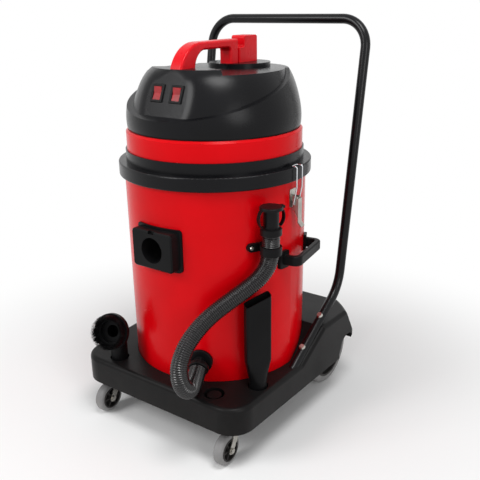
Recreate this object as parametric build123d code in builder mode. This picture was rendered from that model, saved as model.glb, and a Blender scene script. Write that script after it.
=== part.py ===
from build123d import *
import math
import os

os.makedirs("parts", exist_ok=True)

# Wet and dry vacuum: a round tank on a moulded trolley, with a twin motor head, a push handle,
# a drain hose and stored nozzles. Millimetres, +Z up, front at -Y, floor at z = 0.
# Places in plan are measured from the tank's own upright axis.
AXIS_Y = -16.0
RUN = 0.05
SEAT = 0.3
SCREW_TAPER = 25.0
HEX = 6
SIDES = {"left": -1, "right": 1}

# Tank
TANK_FLOOR_Z = 140.0
TANK_TOP_Z = 668.0
TANK_LOW_R = 226.0
TANK_HIGH_R = 228.0
TANK_WALL = 4.0
TANK_LIP = 3.0
TANK_LIP_H = 8.0
TANK_CORNER = 24.0

# Trolley
SKIRT_Z = 100.0
DECK_Z = 170.0
FENDER_Z = 235.0
TROLLEY_WALL = 5.0
FRONT_Y = -277.0
REAR_Y = 285.0
FRONT_HALF = 258.0
REAR_HALF = 277.0
FRONT_CORNER = 62.0
REAR_CORNER = 26.0
CROWN_LOW_R = 407.0
CROWN_TOP_R = 350.0
CROWN_TOP_Z = 246.0
DECK_EDGE = 11.0
WELL_GAP = 1.5
WELL_PLATE = 6.0
RAMP_Y = 0.0
RAMP_ANGLE = 31.25
RIB = 4.0
RIB_X = (-75.0, 75.0)
RIB_Z = 128.0

# Nozzle sockets in the deck
SOCKET_R = 25.0
SOCKET_WALL = 3.0
SOCKET_FLOOR_Z = 131.0
POST_R = 17.5
POST_TOP_Z = 167.0
FRONT_SOCKET = (158.0, -232.0)
SIDE_SOCKET = (224.0, -143.0)
SPIGOT_R = 22.0
SPIGOT_BORE_R = 18.5

# Push handle
TUBE_R = 12.5
TUBE_WALL = 1.6
HANDLE_X = 248.0
HANDLE_FOOT_Y = -22.0
HANDLE_LIFT = 3.0
HANDLE_TOP_Z = 1007.0
HANDLE_LEAN = 9.0
HANDLE_KNEE_Y = 220.0
KNEE_BEND = 105.0
CROSS_BEND = 72.0
CHANNEL_WALL = 5.0
BOLT_Y = (34.0, 124.0)
BOLT_R = 4.0
BOLT_HEAD_R = 8.5
BOLT_HEAD_H = 5.0
BOLT_REACH = 30.0
BOLT_BOSS_R = 10.0

# Rear wheels
WHEEL_R = 100.0
WHEEL_W = 38.0
WHEEL_Y = 225.0
WHEEL_OUT_X = 226.0
TYRE_DEPTH = 20.0
TYRE_ROUND = 11.0
HUB_WEB = 6.0
HUB_BOSS_R = 17.0
HUB_SPOKES = 6
AXLE_R = 8.0
AXLE_PLATE = 10.0
AXLE_PLATE_X = 166.0
AXLE_PLATE_LEN = 76.0
AXLE_PLATE_LOW = 20.0
CAP_R = 15.0
CAP_H = 7.0
BAY_GAP = 9.0
ARCH_FRONT_Y = 195.0
ARCH_CREST_Y = 232.0
ARCH_CREST_Z = 160.0
ARCH_TIP_Z = 128.0

# Casters
CASTER_X = 200.0
CASTER_Y = -214.0
CASTER_R = 40.0
CASTER_W = 26.0
CASTER_TRAIL = 32.0
CASTER_TYRE = 11.0
CASTER_ROUND = 8.0
CASTER_AXLE_R = 4.0
CASTER_BOSS = 9.0
CASTER_WEB = 3.5
AXLE_NUT_R = 7.0
AXLE_NUT_H = 4.0
FORK_SHEET = 3.0
FORK_GAP = 2.0
FORK_TOP_Z = 94.0
FORK_CROWN_R = 22.0
FORK_LEG_W = 20.0
STEM_R = 6.0
STEM_H = 50.0
STEM_FLANGE_R = 18.0
STEM_RIVET_R = 9.0
STEM_RIVET_H = 3.0
CASTER_BOSS_R = 21.0

# Suction inlet at the front of the tank
INLET_Z = 508.0
INLET_W = 122.0
INLET_H = 94.0
INLET_FACE = 252.0
INLET_BORE_R = 31.5
INLET_SLEEVE_R = 36.0
INLET_SLEEVE_IN = 34.0
INLET_FLANGE = 6.0
INLET_FLANGE_T = 4.0
INLET_ROUND = 9.0
INLET_NUT_R = 47.0
INLET_NUT_T = 10.0
INLET_NUT_SIDES = 8
INLET_CHAMFER = 3.0
CATCH_W = 18.0
CATCH_DEPTH = 7.0

# Drain and its hose
DRAIN_ANGLE = -64.8
DRAIN_Z = 226.0
DRAIN_TILT = 20.0
DRAIN_FLANGE_R = 31.0
DRAIN_FLANGE_T = 7.0
DRAIN_STUB_R = 17.0
DRAIN_BORE_R = 14.0
DRAIN_STUB_IN = 26.0
DRAIN_THREAD_R = 20.0
DRAIN_ROOT = 1.2
DRAIN_NUT_R = 29.0
DRAIN_NUT_T = 9.0
CUFF_R = 25.0
CUFF_L = 12.0
CUFF_CHAMFER = 2.0
HOSE_R = 21.0
HOSE_ROOT_R = 19.2
HOSE_BORE_R = 17.2
HOSE_RIBS = 112
HOSE_TOP_Z = 554.0
HOSE_LEAD = 63.0
HOSE_ARC_SHARE = 0.45
HOSE_RIB_FORM = ((0.0, HOSE_ROOT_R), (0.2, HOSE_R), (0.6, HOSE_R), (0.8, HOSE_ROOT_R))
HOSE_ROUTE = [
    (140.0, -324.0, 222.0),
    (133.0, -330.0, 272.0),
    (135.0, -307.0, 318.0),
    (143.0, -268.0, 352.0),
    (158.0, -230.0, 379.0),
    (184.0, -194.0, 406.0),
    (212.0, -156.0, 434.0),
    (230.0, -130.0, 458.0),
    (241.0, -112.0, 492.0),
]

# Hose clip and stopper
CLIP_Z = 516.0
CLIP_H = 20.0
CLIP_BAND = 4.0
CLIP_SPAN = 84.0
CLIP_PLATE = 7.0
CLIP_SCREW_R = 5.0
CLIP_SCREW_H = 3.0
CLIP_SHANK_R = 2.0
CLIP_SCREW_INSET = 9.0
COLLAR_R = 25.0
COLLAR_H = 15.0
NECK_R = 18.0
NECK_BORE_R = 14.0
NECK_H = 44.0
STOPPER_R = 27.0
STOPPER_T = 7.0
STOPPER_TAB = 13.0
PLUG_L = 28.0
STRAP_W = 11.0
STRAP_T = 2.5
STRAP_BOW = 8.0
COLLAR_SPIGOT = 20.0

# Side grip on the tank's right
GRIP_ANGLE = 8.5
GRIP_Z = 466.0
GRIP_H = 25.0
GRIP_HALF = 77.0
GRIP_OUT = 265.0
GRIP_BAR = 14.0
GRIP_ROUND = 20.0
GRIP_FOOT = 30.0
GRIP_FOOT_H = 44.0
GRIP_FOOT_T = 7.0
GRIP_EDGE = 4.0

# Head base, seal and red band
RIM_R = 241.0
RIM_LOW_Z = 655.0
RIM_TOP_Z = 688.0
RIM_WALL = 4.0
RIM_ROUND = 3.0
SEAL_H = 8.0
BASE_PLATE = 6.0
COLLAR_RING_R = 222.0
RING_TOP_Z = 716.0
RING_WALL = 5.0
BAND_R = 218.5
BAND_TOP_Z = 764.0
BAND_WALL = 4.0
BAND_SLOPE = 5.0
BAND_SEAT_R = 208.0
BAND_LIP = 4.0
BAND_LIP_H = 8.0
BAND_TICKS = 18
TICK_W = 2.5
TICK_DEPTH = 1.0
BAND_SHELF_R = 200.0

# Motor cover: plan ellipses at each height, as half width, half length and shift to the rear
COVER_GAP = 5.0
COVER_WALL = 4.0
COVER_TOP_Z = 910.0
COVER_FOOT = 5.0
COVER_FOOT_R = 208.0
SHELF_DROP = 11.0
LOWER_COVER = [(0.0, 214.0, 214.0, 0.0), (30.0, 215.0, 215.0, 0.0), (80.0, 203.0, 208.0, 2.0),
               (114.0, 184.0, 198.0, 9.0), (138.0, 158.0, 181.0, 20.0)]
HOOD = [(0.0, 203.0, 205.0, 0.0), (40.0, 200.0, 202.0, 0.0), (80.0, 188.0, 191.0, 3.0),
        (116.0, 172.0, 181.0, 10.0), (141.0, 151.0, 168.0, 20.0)]
LEDGE_FRONT_Z = 803.0
LEDGE_ANGLE = 16.0
LEDGE_ROUND = 4.0
TONGUE_R = 180.0
TONGUE_Y = -252.0
PANEL_Y = -170.0
PANEL_Z = 859.0
PANEL_LEAN = 23.0
PANEL_ROUND = 60.0

# Switches
SWITCH_X = 28.0
SWITCH_W = 37.0
SWITCH_H = 43.0
SWITCH_LIP = 3.0
SWITCH_TAPER = 20.0
SWITCH_DEPTH = 22.0
SWITCH_BODY_IN = 2.5
ROCKER_W = 22.0
ROCKER_H = 30.0
ROCKER_SIDE_GAP = 0.5
ROCKER_GAP = 0.9
ROCKER_PIVOT = 2.0
ROCKER_PROUD = 5.5
ROCKER_DISH = 2.5
ROCKER_BODY = 4.0
ROCKER_PIN_L = 1.5
SWITCH_WELL = 10.0
ROCKER_TILT = 12.0
ROCKER_PIN_R = 2.0

# Carry handle and cord hook on the cover
CARRY_W = 36.0
CARRY_FRONT = -140.0
CARRY_CREST = -60.0
CARRY_ARCH = 85.0
CARRY_GAP_FRONT = -86.0
CARRY_GAP_CREST = -52.0
CARRY_GAP_ARCH = 42.0
CARRY_GAP_REAR = 50.0
CARRY_REAR = 83.0
CARRY_TOP_Z = 966.0
CARRY_BAR = 19.0
CARRY_ROUND = 6.0
HOOK_L = 78.0
HOOK_W = 41.0
HOOK_TOP_Z = 973.0
HOOK_ROUND = 6.0
HOOK_STEP_Z = 946.0
HOOK_STEP_Y = 104.0
HOOK_GAP = 1.0
PLINTH_Y = 112.0
PLINTH_R = 78.0
PLINTH_H = 10.0
GLAND_R = 9.0
GLAND_Z = 800.0
GLAND_L = 14.0
GLAND_FLANGE_R = 14.0
GLAND_FLANGE_T = 3.0
GLAND_BORE_R = 4.5

# Motors and what hangs below them
MOTOR_X = 85.0
MOTOR_R = 70.0
MOTOR_PAD = 3.0
FAN_CASE_H = 56.0
MOTOR_WALL = 4.0
FRAME_R = 48.0
FRAME_H = 88.0
EYE_R = 26.0
SHAFT_R = 5.0
FAN_R = 60.0
FAN_T = 9.0
ARMATURE_R = 27.0
ARMATURE_H = 46.0
FAN_LIFT = 12.0
VANES = 8
VANE_L = 34.0
VANE_T = 2.0
VANE_H = 7.0
ARMATURE_LIFT = 24.0
SHAFT_END = 6.0
CHAMBER_R = 150.0
CHAMBER_H = 34.0
CHAMBER_WALL = 3.0
CHAMBER_PORT_R = 20.0
FLOAT_R = 23.0
FLOAT_CAGE_R = 30.0
FLOAT_CAGE_H = 86.0
FLOAT_BARS = 8
FLOAT_BAR_R = 2.2
CAGE_RING = 5.0
FILTER_R = 172.0
FILTER_LOW_R = 160.0
FILTER_WALL = 3.0
FILTER_LOW_Z = 470.0
FILTER_BARS = 16
FILTER_BAR = 5.0

# Latches: a wire bail pulled down by a lever over its centre
LATCH_PLATE_W = 26.0
LATCH_PLATE_H = 44.0
LATCH_PLATE_T = 2.0
LATCH_PIN_R = 2.5
LATCH_PIN_X = 241.0
LATCH_PIN_Z = 612.0
LATCH_EAR_HALF = 5.5
LATCH_EAR_T = 2.0
LATCH_EAR_R = 6.0
LEVER_HALF = 8.5
LEVER_SHEET = 1.6
LEVER_ROUND = 6.5
LEVER_DEPTH = 9.0
LEVER_CHEEK = 22.0
LEVER_TAPER = 46.0
LEVER_TAIL_Z = 546.0
LEVER_CURL = 9.0
LEVER_CURL_H = 10.0
BAIL_R = 1.7
BAIL_HALF = 12.0
BAIL_DROP = 14.0
BAIL_GAP = 0.6
BAIL_KNEE_Z = 640.0
BAIL_IN = 2.5
BAIL_OUT_X = 247.0
BAIL_HOOK_X = 232.0
BAIL_BEND = 4.0

# Nozzles
TOOL_W = 64.0
TOOL_T = 24.0
TOOL_WALL = 2.2
TOOL_NECK_Z = 190.0
TOOL_FLAT_Z = 240.0
TOOL_LOW_Z = 386.0
TOOL_HIGH_Z = 412.0
TOOL_ROUND = 6.0
BRUSH_HEAD_R = 47.0
BRUSH_NECK_R = 20.0
BRUSH_NECK_L = 14.0
BRUSH_CONE_L = 12.0
BRUSH_RIM_L = 12.0
BRUSH_MOUTH_R = 30.0
BRUSH_WALL = 4.0
BRUSH_KNUCKLE_Z = 249.0
BRUSH_KNUCKLE_R = 24.0
BRUSH_TILT = 18.0
BRUSH_YAW = -17.5
BRISTLE_L = 24.0
BRISTLE_W = 1.2
BRISTLE_RINGS = (34.0, 37.0, 40.0, 43.0)
BRISTLE_COUNT = 84
BRISTLE_BACK = 3.0

TANK_AXIS = Axis((0, AXIS_Y, 0), (0, 0, 1))
TOTAL_X = 2 * REAR_HALF
LIP_R = TANK_HIGH_R + TANK_LIP
SEAL_TOP_Z = TANK_TOP_Z + SEAL_H
PLATE_TOP_Z = SEAL_TOP_Z + BASE_PLATE
COVER_Z = BAND_TOP_Z + COVER_GAP
SHELF_Z = COVER_TOP_Z - SHELF_DROP
RAMP_SLOPE = math.tan(math.radians(RAMP_ANGLE))
RAMP_TOP_Y = RAMP_Y + (FENDER_Z - DECK_Z) / RAMP_SLOPE
HOSE_END_X, HOSE_END_Y = HOSE_ROUTE[-1][:2]
HOSE_END_ANGLE = math.degrees(math.atan2(HOSE_END_Y, HOSE_END_X))
HOSE_END_R = math.hypot(HOSE_END_X, HOSE_END_Y)
CLIP_SCREWS = [(sign * (CLIP_SPAN / 2 - CLIP_SCREW_INSET), 0) for sign in SIDES.values()]


def level(z):
    """A flat plane at height z, centred on the tank's axis."""
    return Plane(origin=(0, AXIS_Y, z))


def side(x):
    """An upright plane at x, drawn in (y from the tank's axis, z) and facing +X."""
    return Plane(origin=(x, AXIS_Y, 0), x_dir=(0, 1, 0), z_dir=(1, 0, 0))


def facing(y):
    """An upright plane at y from the tank's axis, drawn in (x, z) and facing the front."""
    return Plane(origin=(0, AXIS_Y + y, 0), x_dir=(1, 0, 0), z_dir=(0, -1, 0))


def radial(angle, r, z):
    """A plane square to the radius at an angle round the tank, facing outwards."""
    a = math.radians(angle)
    out = (math.cos(a), math.sin(a), 0)
    return Plane(
        origin=(r * out[0], AXIS_Y + r * out[1], z), x_dir=(-out[1], out[0], 0), z_dir=out
    )


def save(block, name):
    block.part.label = name
    export_step(block.part, f"parts/{name}.step")


def save_pair(block, name):
    """Writes a piece of the right side, and its mirror image on the left."""
    save(block, f"{name}_right")
    left = mirror(block.part, about=Plane.YZ)
    left.label = f"{name}_left"
    export_step(left, f"parts/{name}_left.step")


def save_both(block, name):
    """Writes a piece of the right side and its mirror image as one group."""
    with BuildPart() as both:
        add(block.part)
        mirror(about=Plane.YZ)
    save(both, name)


def tank_radius(z):
    """The tank's outer radius at height z."""
    share = (z - TANK_FLOOR_Z) / (TANK_TOP_Z - TANK_FLOOR_Z)
    return TANK_LOW_R + (TANK_HIGH_R - TANK_LOW_R) * share


def ramp_z(y):
    """Height of the handle's centre line above the ramp at y."""
    return DECK_Z + HANDLE_LIFT / math.cos(math.radians(RAMP_ANGLE)) + (y - RAMP_Y) * RAMP_SLOPE


# Space that the tank takes up, with its seating gap, for pieces that hug the wall
with BuildPart() as tank_space:
    with BuildSketch(facing(0)):
        Polygon(
            (0, TANK_FLOOR_Z),
            (TANK_LOW_R + SEAT, TANK_FLOOR_Z),
            (TANK_HIGH_R + SEAT, TANK_TOP_Z),
            (0, TANK_TOP_Z),
            align=None,
        )
    revolve(axis=TANK_AXIS)


# Trolley moulding
def trolley_plan(inset):
    """Plan outline of the trolley, drawn in by inset all round."""
    Polygon(
        (-FRONT_HALF + inset, FRONT_Y + inset),
        (FRONT_HALF - inset, FRONT_Y + inset),
        (REAR_HALF - inset, REAR_Y - inset),
        (-REAR_HALF + inset, REAR_Y - inset),
        align=None,
    )
    front = vertices().group_by(Axis.Y)[0]
    fillet(front, FRONT_CORNER - inset)
    rear = vertices().group_by(Axis.Y)[-1]
    fillet(rear, REAR_CORNER - inset)


def trolley_side(inset):
    """Side outline of the trolley: flat deck, ramp and fender top, dropped by inset."""
    run_up = inset * math.tan(math.radians(RAMP_ANGLE / 2))
    Polygon(
        (FRONT_Y + inset, SKIRT_Z - inset),
        (FRONT_Y + inset, DECK_Z - inset),
        (RAMP_Y + run_up, DECK_Z - inset),
        (RAMP_TOP_Y + run_up, FENDER_Z - inset),
        (REAR_Y - inset, FENDER_Z - inset),
        (REAR_Y - inset, SKIRT_Z - inset),
        align=None,
    )


def trolley_crown(inset):
    """Keeps what lies inside a cone round the tank, which domes the two rear corners."""
    with Locations((0, AXIS_Y, (SKIRT_Z + CROWN_TOP_Z) / 2 - inset)):
        Cone(
            CROWN_LOW_R - inset,
            CROWN_TOP_R - inset,
            CROWN_TOP_Z - SKIRT_Z,
            mode=Mode.INTERSECT,
        )


def handle_run_plane(x):
    """Plane at the handle's foot, facing up along the ramp run."""
    a = math.radians(RAMP_ANGLE)
    return Plane(
        origin=(x, AXIS_Y + HANDLE_FOOT_Y, ramp_z(HANDLE_FOOT_Y)),
        x_dir=(1, 0, 0),
        z_dir=(0, math.cos(a), math.sin(a)),
    )


def bolt_plane(x, y):
    """Plane at a handle bolt, on the tube's centre line and facing out of the ramp."""
    a = math.radians(RAMP_ANGLE)
    return Plane(
        origin=(x, AXIS_Y + y, ramp_z(y)), x_dir=(1, 0, 0), z_dir=(0, -math.sin(a), math.cos(a))
    )


RUN_LENGTH = (RAMP_TOP_Y - HANDLE_FOOT_Y) / math.cos(math.radians(RAMP_ANGLE)) + FENDER_Z - DECK_Z
WELL_R = TANK_LOW_R + WELL_GAP
SOCKETS = [FRONT_SOCKET, (-FRONT_SOCKET[0], FRONT_SOCKET[1]), SIDE_SOCKET]
CASTERS = [(CASTER_X, CASTER_Y), (-CASTER_X, CASTER_Y)]
BOLTS = [(sign * HANDLE_X, y) for sign in SIDES.values() for y in BOLT_Y]

with BuildPart() as trolley_hollow:
    with BuildSketch(level(SKIRT_Z - TROLLEY_WALL)):
        trolley_plan(TROLLEY_WALL)
    extrude(amount=FENDER_Z - SKIRT_Z)
    with BuildSketch(side(0)):
        trolley_side(TROLLEY_WALL)
    extrude(amount=TOTAL_X, both=True, mode=Mode.INTERSECT)
    trolley_crown(TROLLEY_WALL)
    with BuildSketch(level(TANK_FLOOR_Z - WELL_PLATE)):
        Circle(WELL_R + TROLLEY_WALL)
    extrude(amount=FENDER_Z, mode=Mode.SUBTRACT)
    with BuildSketch(level(SOCKET_FLOOR_Z - SOCKET_WALL)):
        with Locations(*SOCKETS):
            Circle(SOCKET_R + SOCKET_WALL)
    extrude(amount=FENDER_Z, mode=Mode.SUBTRACT)
    with BuildSketch(level(SKIRT_Z - TROLLEY_WALL)):
        with Locations(*CASTERS):
            Circle(CASTER_BOSS_R)
    extrude(amount=FENDER_Z, mode=Mode.SUBTRACT)
    with BuildSketch(level(WHEEL_R - AXLE_PLATE_LOW)):
        with Locations((-AXLE_PLATE_X, WHEEL_Y), (AXLE_PLATE_X, WHEEL_Y)):
            Rectangle(AXLE_PLATE, AXLE_PLATE_LEN)
    extrude(amount=FENDER_Z, mode=Mode.SUBTRACT)
    with BuildSketch(level(RIB_Z)):
        for x in RIB_X:
            with Locations((x, FRONT_Y)):
                Rectangle(RIB, -FRONT_Y)
    extrude(amount=FENDER_Z, mode=Mode.SUBTRACT)
    for sign in SIDES.values():
        with BuildSketch(handle_run_plane(sign * HANDLE_X)):
            Circle(TUBE_R + SEAT + CHANNEL_WALL)
        extrude(amount=RUN_LENGTH, both=True, mode=Mode.SUBTRACT)
    for x, y in BOLTS:
        with BuildSketch(bolt_plane(x, y)):
            Circle(BOLT_BOSS_R)
        extrude(amount=-BOLT_REACH - TUBE_R, mode=Mode.SUBTRACT)

with BuildPart() as trolley:
    with BuildSketch(level(SKIRT_Z)):
        trolley_plan(0)
    extrude(amount=FENDER_Z - SKIRT_Z)
    with BuildSketch(side(0)):
        trolley_side(0)
    extrude(amount=TOTAL_X, both=True, mode=Mode.INTERSECT)
    trolley_crown(0)
    tops = faces().filter_by(lambda f: f.normal_at().Z > 0.5)
    creases = [e for e in tops.edges() if sum(e in f.edges() for f in tops) == 1]
    fillet(creases, DECK_EDGE)
    add(trolley_hollow.part, mode=Mode.SUBTRACT)
    with BuildSketch(level(TANK_FLOOR_Z)):
        Circle(WELL_R)
    extrude(amount=FENDER_Z, mode=Mode.SUBTRACT)
    with BuildSketch(level(SOCKET_FLOOR_Z)):
        with Locations(*SOCKETS):
            Circle(SOCKET_R)
            Circle(POST_R, mode=Mode.SUBTRACT)
    extrude(amount=FENDER_Z, mode=Mode.SUBTRACT)
    with BuildSketch(level(POST_TOP_Z)):
        with Locations(*SOCKETS):
            Circle(SOCKET_R)
    extrude(amount=FENDER_Z, mode=Mode.SUBTRACT)
    with BuildSketch(level(SKIRT_Z)):
        with Locations(*CASTERS):
            Circle(STEM_R + RUN)
    extrude(amount=STEM_H, mode=Mode.SUBTRACT)
    with BuildSketch(side(0)):
        with Locations((WHEEL_Y, WHEEL_R)):
            Circle(AXLE_R + RUN)
    extrude(amount=AXLE_PLATE_X + AXLE_PLATE, both=True, mode=Mode.SUBTRACT)
    for sign in SIDES.values():
        with BuildSketch(handle_run_plane(sign * HANDLE_X)):
            Circle(TUBE_R + SEAT)
        extrude(amount=RUN_LENGTH, mode=Mode.SUBTRACT)
        bay = sign * (WHEEL_OUT_X - WHEEL_W / 2)
        with BuildSketch(facing(REAR_Y - REAR_CORNER)):
            with Locations((bay, WHEEL_R)):
                Rectangle(WHEEL_W + 2 * BAY_GAP, 2 * (WHEEL_R + BAY_GAP))
        extrude(amount=-2 * REAR_CORNER, mode=Mode.SUBTRACT)
        with BuildSketch(side(bay)):
            with BuildLine():
                ThreePointArc(
                    (ARCH_FRONT_Y, SKIRT_Z),
                    (ARCH_CREST_Y, ARCH_CREST_Z),
                    (REAR_Y - TROLLEY_WALL, ARCH_TIP_Z),
                )
                Polyline(
                    (REAR_Y - TROLLEY_WALL, ARCH_TIP_Z),
                    (REAR_Y + TROLLEY_WALL, ARCH_TIP_Z),
                    (REAR_Y + TROLLEY_WALL, SKIRT_Z - TROLLEY_WALL),
                    (ARCH_FRONT_Y, SKIRT_Z - TROLLEY_WALL),
                    (ARCH_FRONT_Y, SKIRT_Z),
                )
            make_face()
        extrude(amount=sign * TOTAL_X, mode=Mode.SUBTRACT)
    for x, y in BOLTS:
        with BuildSketch(bolt_plane(x, y)):
            Circle(BOLT_R + RUN)
        extrude(amount=-BOLT_REACH, mode=Mode.SUBTRACT)
save(trolley, "trolley_chassis")


# Push handle: one bent tube with a bolt hole through each foot
KNEE_Z = ramp_z(HANDLE_KNEE_Y)
CROSS_Y = HANDLE_KNEE_Y + (HANDLE_TOP_Z - KNEE_Z) * math.tan(math.radians(HANDLE_LEAN))

with BuildPart() as push_handle:
    with BuildLine() as handle_line:
        FilletPolyline(
            (-HANDLE_X, AXIS_Y + HANDLE_FOOT_Y, ramp_z(HANDLE_FOOT_Y)),
            (-HANDLE_X, AXIS_Y + HANDLE_KNEE_Y, KNEE_Z),
            (-HANDLE_X, AXIS_Y + CROSS_Y, HANDLE_TOP_Z),
            (HANDLE_X, AXIS_Y + CROSS_Y, HANDLE_TOP_Z),
            (HANDLE_X, AXIS_Y + HANDLE_KNEE_Y, KNEE_Z),
            (HANDLE_X, AXIS_Y + HANDLE_FOOT_Y, ramp_z(HANDLE_FOOT_Y)),
            radius=[KNEE_BEND, CROSS_BEND, CROSS_BEND, KNEE_BEND],
        )
    with BuildSketch(handle_run_plane(-HANDLE_X)):
        Circle(TUBE_R)
        Circle(TUBE_R - TUBE_WALL, mode=Mode.SUBTRACT)
    sweep(path=handle_line.wire())
    for x, y in BOLTS:
        with BuildSketch(bolt_plane(x, y)):
            Circle(BOLT_R + RUN)
        extrude(amount=2 * TUBE_R, both=True, mode=Mode.SUBTRACT)
save(push_handle, "push_handle")

with BuildPart() as handle_bolts:
    for x, y in BOLTS:
        seat = bolt_plane(x, y)
        with BuildSketch(seat):
            Circle(BOLT_R)
        extrude(amount=-BOLT_REACH)
        with BuildSketch(seat):
            Circle(BOLT_R)
        extrude(amount=TUBE_R)
        with BuildSketch(seat.offset(TUBE_R)):
            Circle(BOLT_HEAD_R)
        extrude(amount=BOLT_HEAD_H, taper=SCREW_TAPER)
save(handle_bolts, "handle_bolts")


# Wheels: a tyre on a spoked hub, both turned about the axle
def turning(x, y, z):
    """Upright plane through a turning axis, drawn in (across, up) from that point."""
    return Plane(origin=(x, AXIS_Y + y, z), x_dir=(1, 0, 0), z_dir=(0, -1, 0))


def make_tyre(x, y, radius, width, depth, rounding):
    with BuildPart() as tyre:
        with BuildSketch(turning(x, y, radius)):
            with Locations((0, radius - depth / 2)):
                Rectangle(width, depth)
            fillet(vertices().group_by(Axis.Y)[-1], rounding)
        revolve(axis=Axis((x, AXIS_Y + y, radius), (1, 0, 0)))
    return tyre


def make_hub(x, y, centre_z, radius, width, bore, boss, web):
    half = width / 2
    rim = radius - web
    with BuildPart() as hub:
        with BuildSketch(turning(x, y, centre_z)):
            with Locations((0, (bore + boss) / 2)):
                Rectangle(width, boss - bore)
            with Locations((0, (boss + rim) / 2)):
                Rectangle(web, rim - boss)
            with Locations((0, radius - web / 2)):
                Rectangle(width, web)
        revolve(axis=Axis((x, AXIS_Y + y, centre_z), (1, 0, 0)))
        with BuildSketch(Plane(origin=(x, AXIS_Y + y, centre_z), x_dir=(0, 1, 0), z_dir=(1, 0, 0))):
            with PolarLocations((radius + boss - web) / 2, HUB_SPOKES):
                Rectangle(rim - boss + web, web)
        extrude(amount=half - web / 2, both=True)
    return hub


# Rear axle and wheels
WHEEL_IN_X = WHEEL_OUT_X - WHEEL_W
WHEEL_X = WHEEL_OUT_X - WHEEL_W / 2
PLATE_OUT_X = AXLE_PLATE_X + AXLE_PLATE / 2

with BuildPart() as rear_axle:
    with BuildSketch(side(0)):
        with Locations((WHEEL_Y, WHEEL_R)):
            Circle(AXLE_R)
    extrude(amount=WHEEL_OUT_X + SEAT, both=True)
save(rear_axle, "rear_axle")

save_pair(make_tyre(WHEEL_X, WHEEL_Y, WHEEL_R, WHEEL_W, TYRE_DEPTH, TYRE_ROUND), "rear_tyre")
save_pair(
    make_hub(
        WHEEL_X, WHEEL_Y, WHEEL_R, WHEEL_R - TYRE_DEPTH, WHEEL_W, AXLE_R + RUN, HUB_BOSS_R, HUB_WEB
    ),
    "rear_hub",
)

with BuildPart() as axle_cap:
    with BuildSketch(side(WHEEL_OUT_X + SEAT)):
        with Locations((WHEEL_Y, WHEEL_R)):
            Circle(CAP_R)
    extrude(amount=CAP_H)
    fillet(axle_cap.faces().sort_by(Axis.X)[-1].edges(), CAP_H / 2)
save_both(axle_cap, "axle_caps")

with BuildPart() as axle_spacer:
    with BuildSketch(side(PLATE_OUT_X)):
        with Locations((WHEEL_Y, WHEEL_R)):
            Circle(HUB_BOSS_R)
            Circle(AXLE_R + RUN, mode=Mode.SUBTRACT)
    extrude(amount=WHEEL_IN_X - SEAT - PLATE_OUT_X)
save_both(axle_spacer, "axle_spacers")


# Casters: a riveted stem in the trolley's boss, a sheet fork that swivels on it, and a wheel
CASTER_WHEEL_Y = CASTER_Y - CASTER_TRAIL
FORK_IN = CASTER_W / 2 + FORK_GAP
CROWN_Z = FORK_TOP_Z - FORK_SHEET

with BuildPart() as caster_stem:
    with BuildSketch(level(CROWN_Z - SEAT - STEM_RIVET_H)):
        with Locations((CASTER_X, CASTER_Y)):
            Circle(STEM_RIVET_R)
    extrude(amount=STEM_RIVET_H)
    with BuildSketch(level(CROWN_Z - SEAT)):
        with Locations((CASTER_X, CASTER_Y)):
            Circle(STEM_R)
    extrude(amount=SKIRT_Z + STEM_H - SEAT - CROWN_Z)
    with BuildSketch(level(FORK_TOP_Z + SEAT)):
        with Locations((CASTER_X, CASTER_Y)):
            Circle(STEM_FLANGE_R)
    extrude(amount=SKIRT_Z - FORK_TOP_Z - SEAT)
save_both(caster_stem, "caster_stems")

with BuildPart() as caster_fork:
    with BuildSketch(level(CROWN_Z)):
        with Locations((CASTER_X, CASTER_Y)):
            Circle(FORK_CROWN_R)
            Circle(STEM_R + RUN, mode=Mode.SUBTRACT)
    extrude(amount=FORK_SHEET)
    with BuildSketch(side(CASTER_X)):
        with BuildLine():
            Polyline(
                (CASTER_Y + FORK_LEG_W / 2, FORK_TOP_Z),
                (CASTER_Y - FORK_LEG_W / 2, FORK_TOP_Z),
                (CASTER_WHEEL_Y - FORK_LEG_W / 2, CASTER_R),
            )
            ThreePointArc(
                (CASTER_WHEEL_Y - FORK_LEG_W / 2, CASTER_R),
                (CASTER_WHEEL_Y, CASTER_R - FORK_LEG_W / 2),
                (CASTER_WHEEL_Y + FORK_LEG_W / 2, CASTER_R),
            )
            Line(
                (CASTER_WHEEL_Y + FORK_LEG_W / 2, CASTER_R),
                (CASTER_Y + FORK_LEG_W / 2, FORK_TOP_Z),
            )
        make_face()
        with Locations((CASTER_WHEEL_Y, CASTER_R)):
            Circle(CASTER_AXLE_R + RUN, mode=Mode.SUBTRACT)
    extrude(amount=FORK_IN + FORK_SHEET, both=True)
    with BuildSketch(level(0)):
        with Locations((CASTER_X, (CASTER_Y + CASTER_WHEEL_Y) / 2)):
            Rectangle(2 * FORK_IN, 2 * CASTER_R + CASTER_TRAIL)
    extrude(amount=CROWN_Z, mode=Mode.SUBTRACT)
    with BuildSketch(level(CROWN_Z)):
        with Locations((CASTER_X, CASTER_Y)):
            Circle(STEM_R + RUN)
    extrude(amount=FORK_SHEET, mode=Mode.SUBTRACT)
save_pair(caster_fork, "caster_fork")

with BuildPart() as caster_axle:
    with BuildSketch(side(CASTER_X)):
        with Locations((CASTER_WHEEL_Y, CASTER_R)):
            Circle(CASTER_AXLE_R)
    extrude(amount=FORK_IN + FORK_SHEET + AXLE_NUT_H, both=True)
    for face in (FORK_IN + FORK_SHEET, -FORK_IN - FORK_SHEET - AXLE_NUT_H):
        with BuildSketch(side(CASTER_X + face)):
            with Locations((CASTER_WHEEL_Y, CASTER_R)):
                RegularPolygon(AXLE_NUT_R, HEX)
        extrude(amount=AXLE_NUT_H)
save_pair(caster_axle, "caster_axle")

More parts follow.
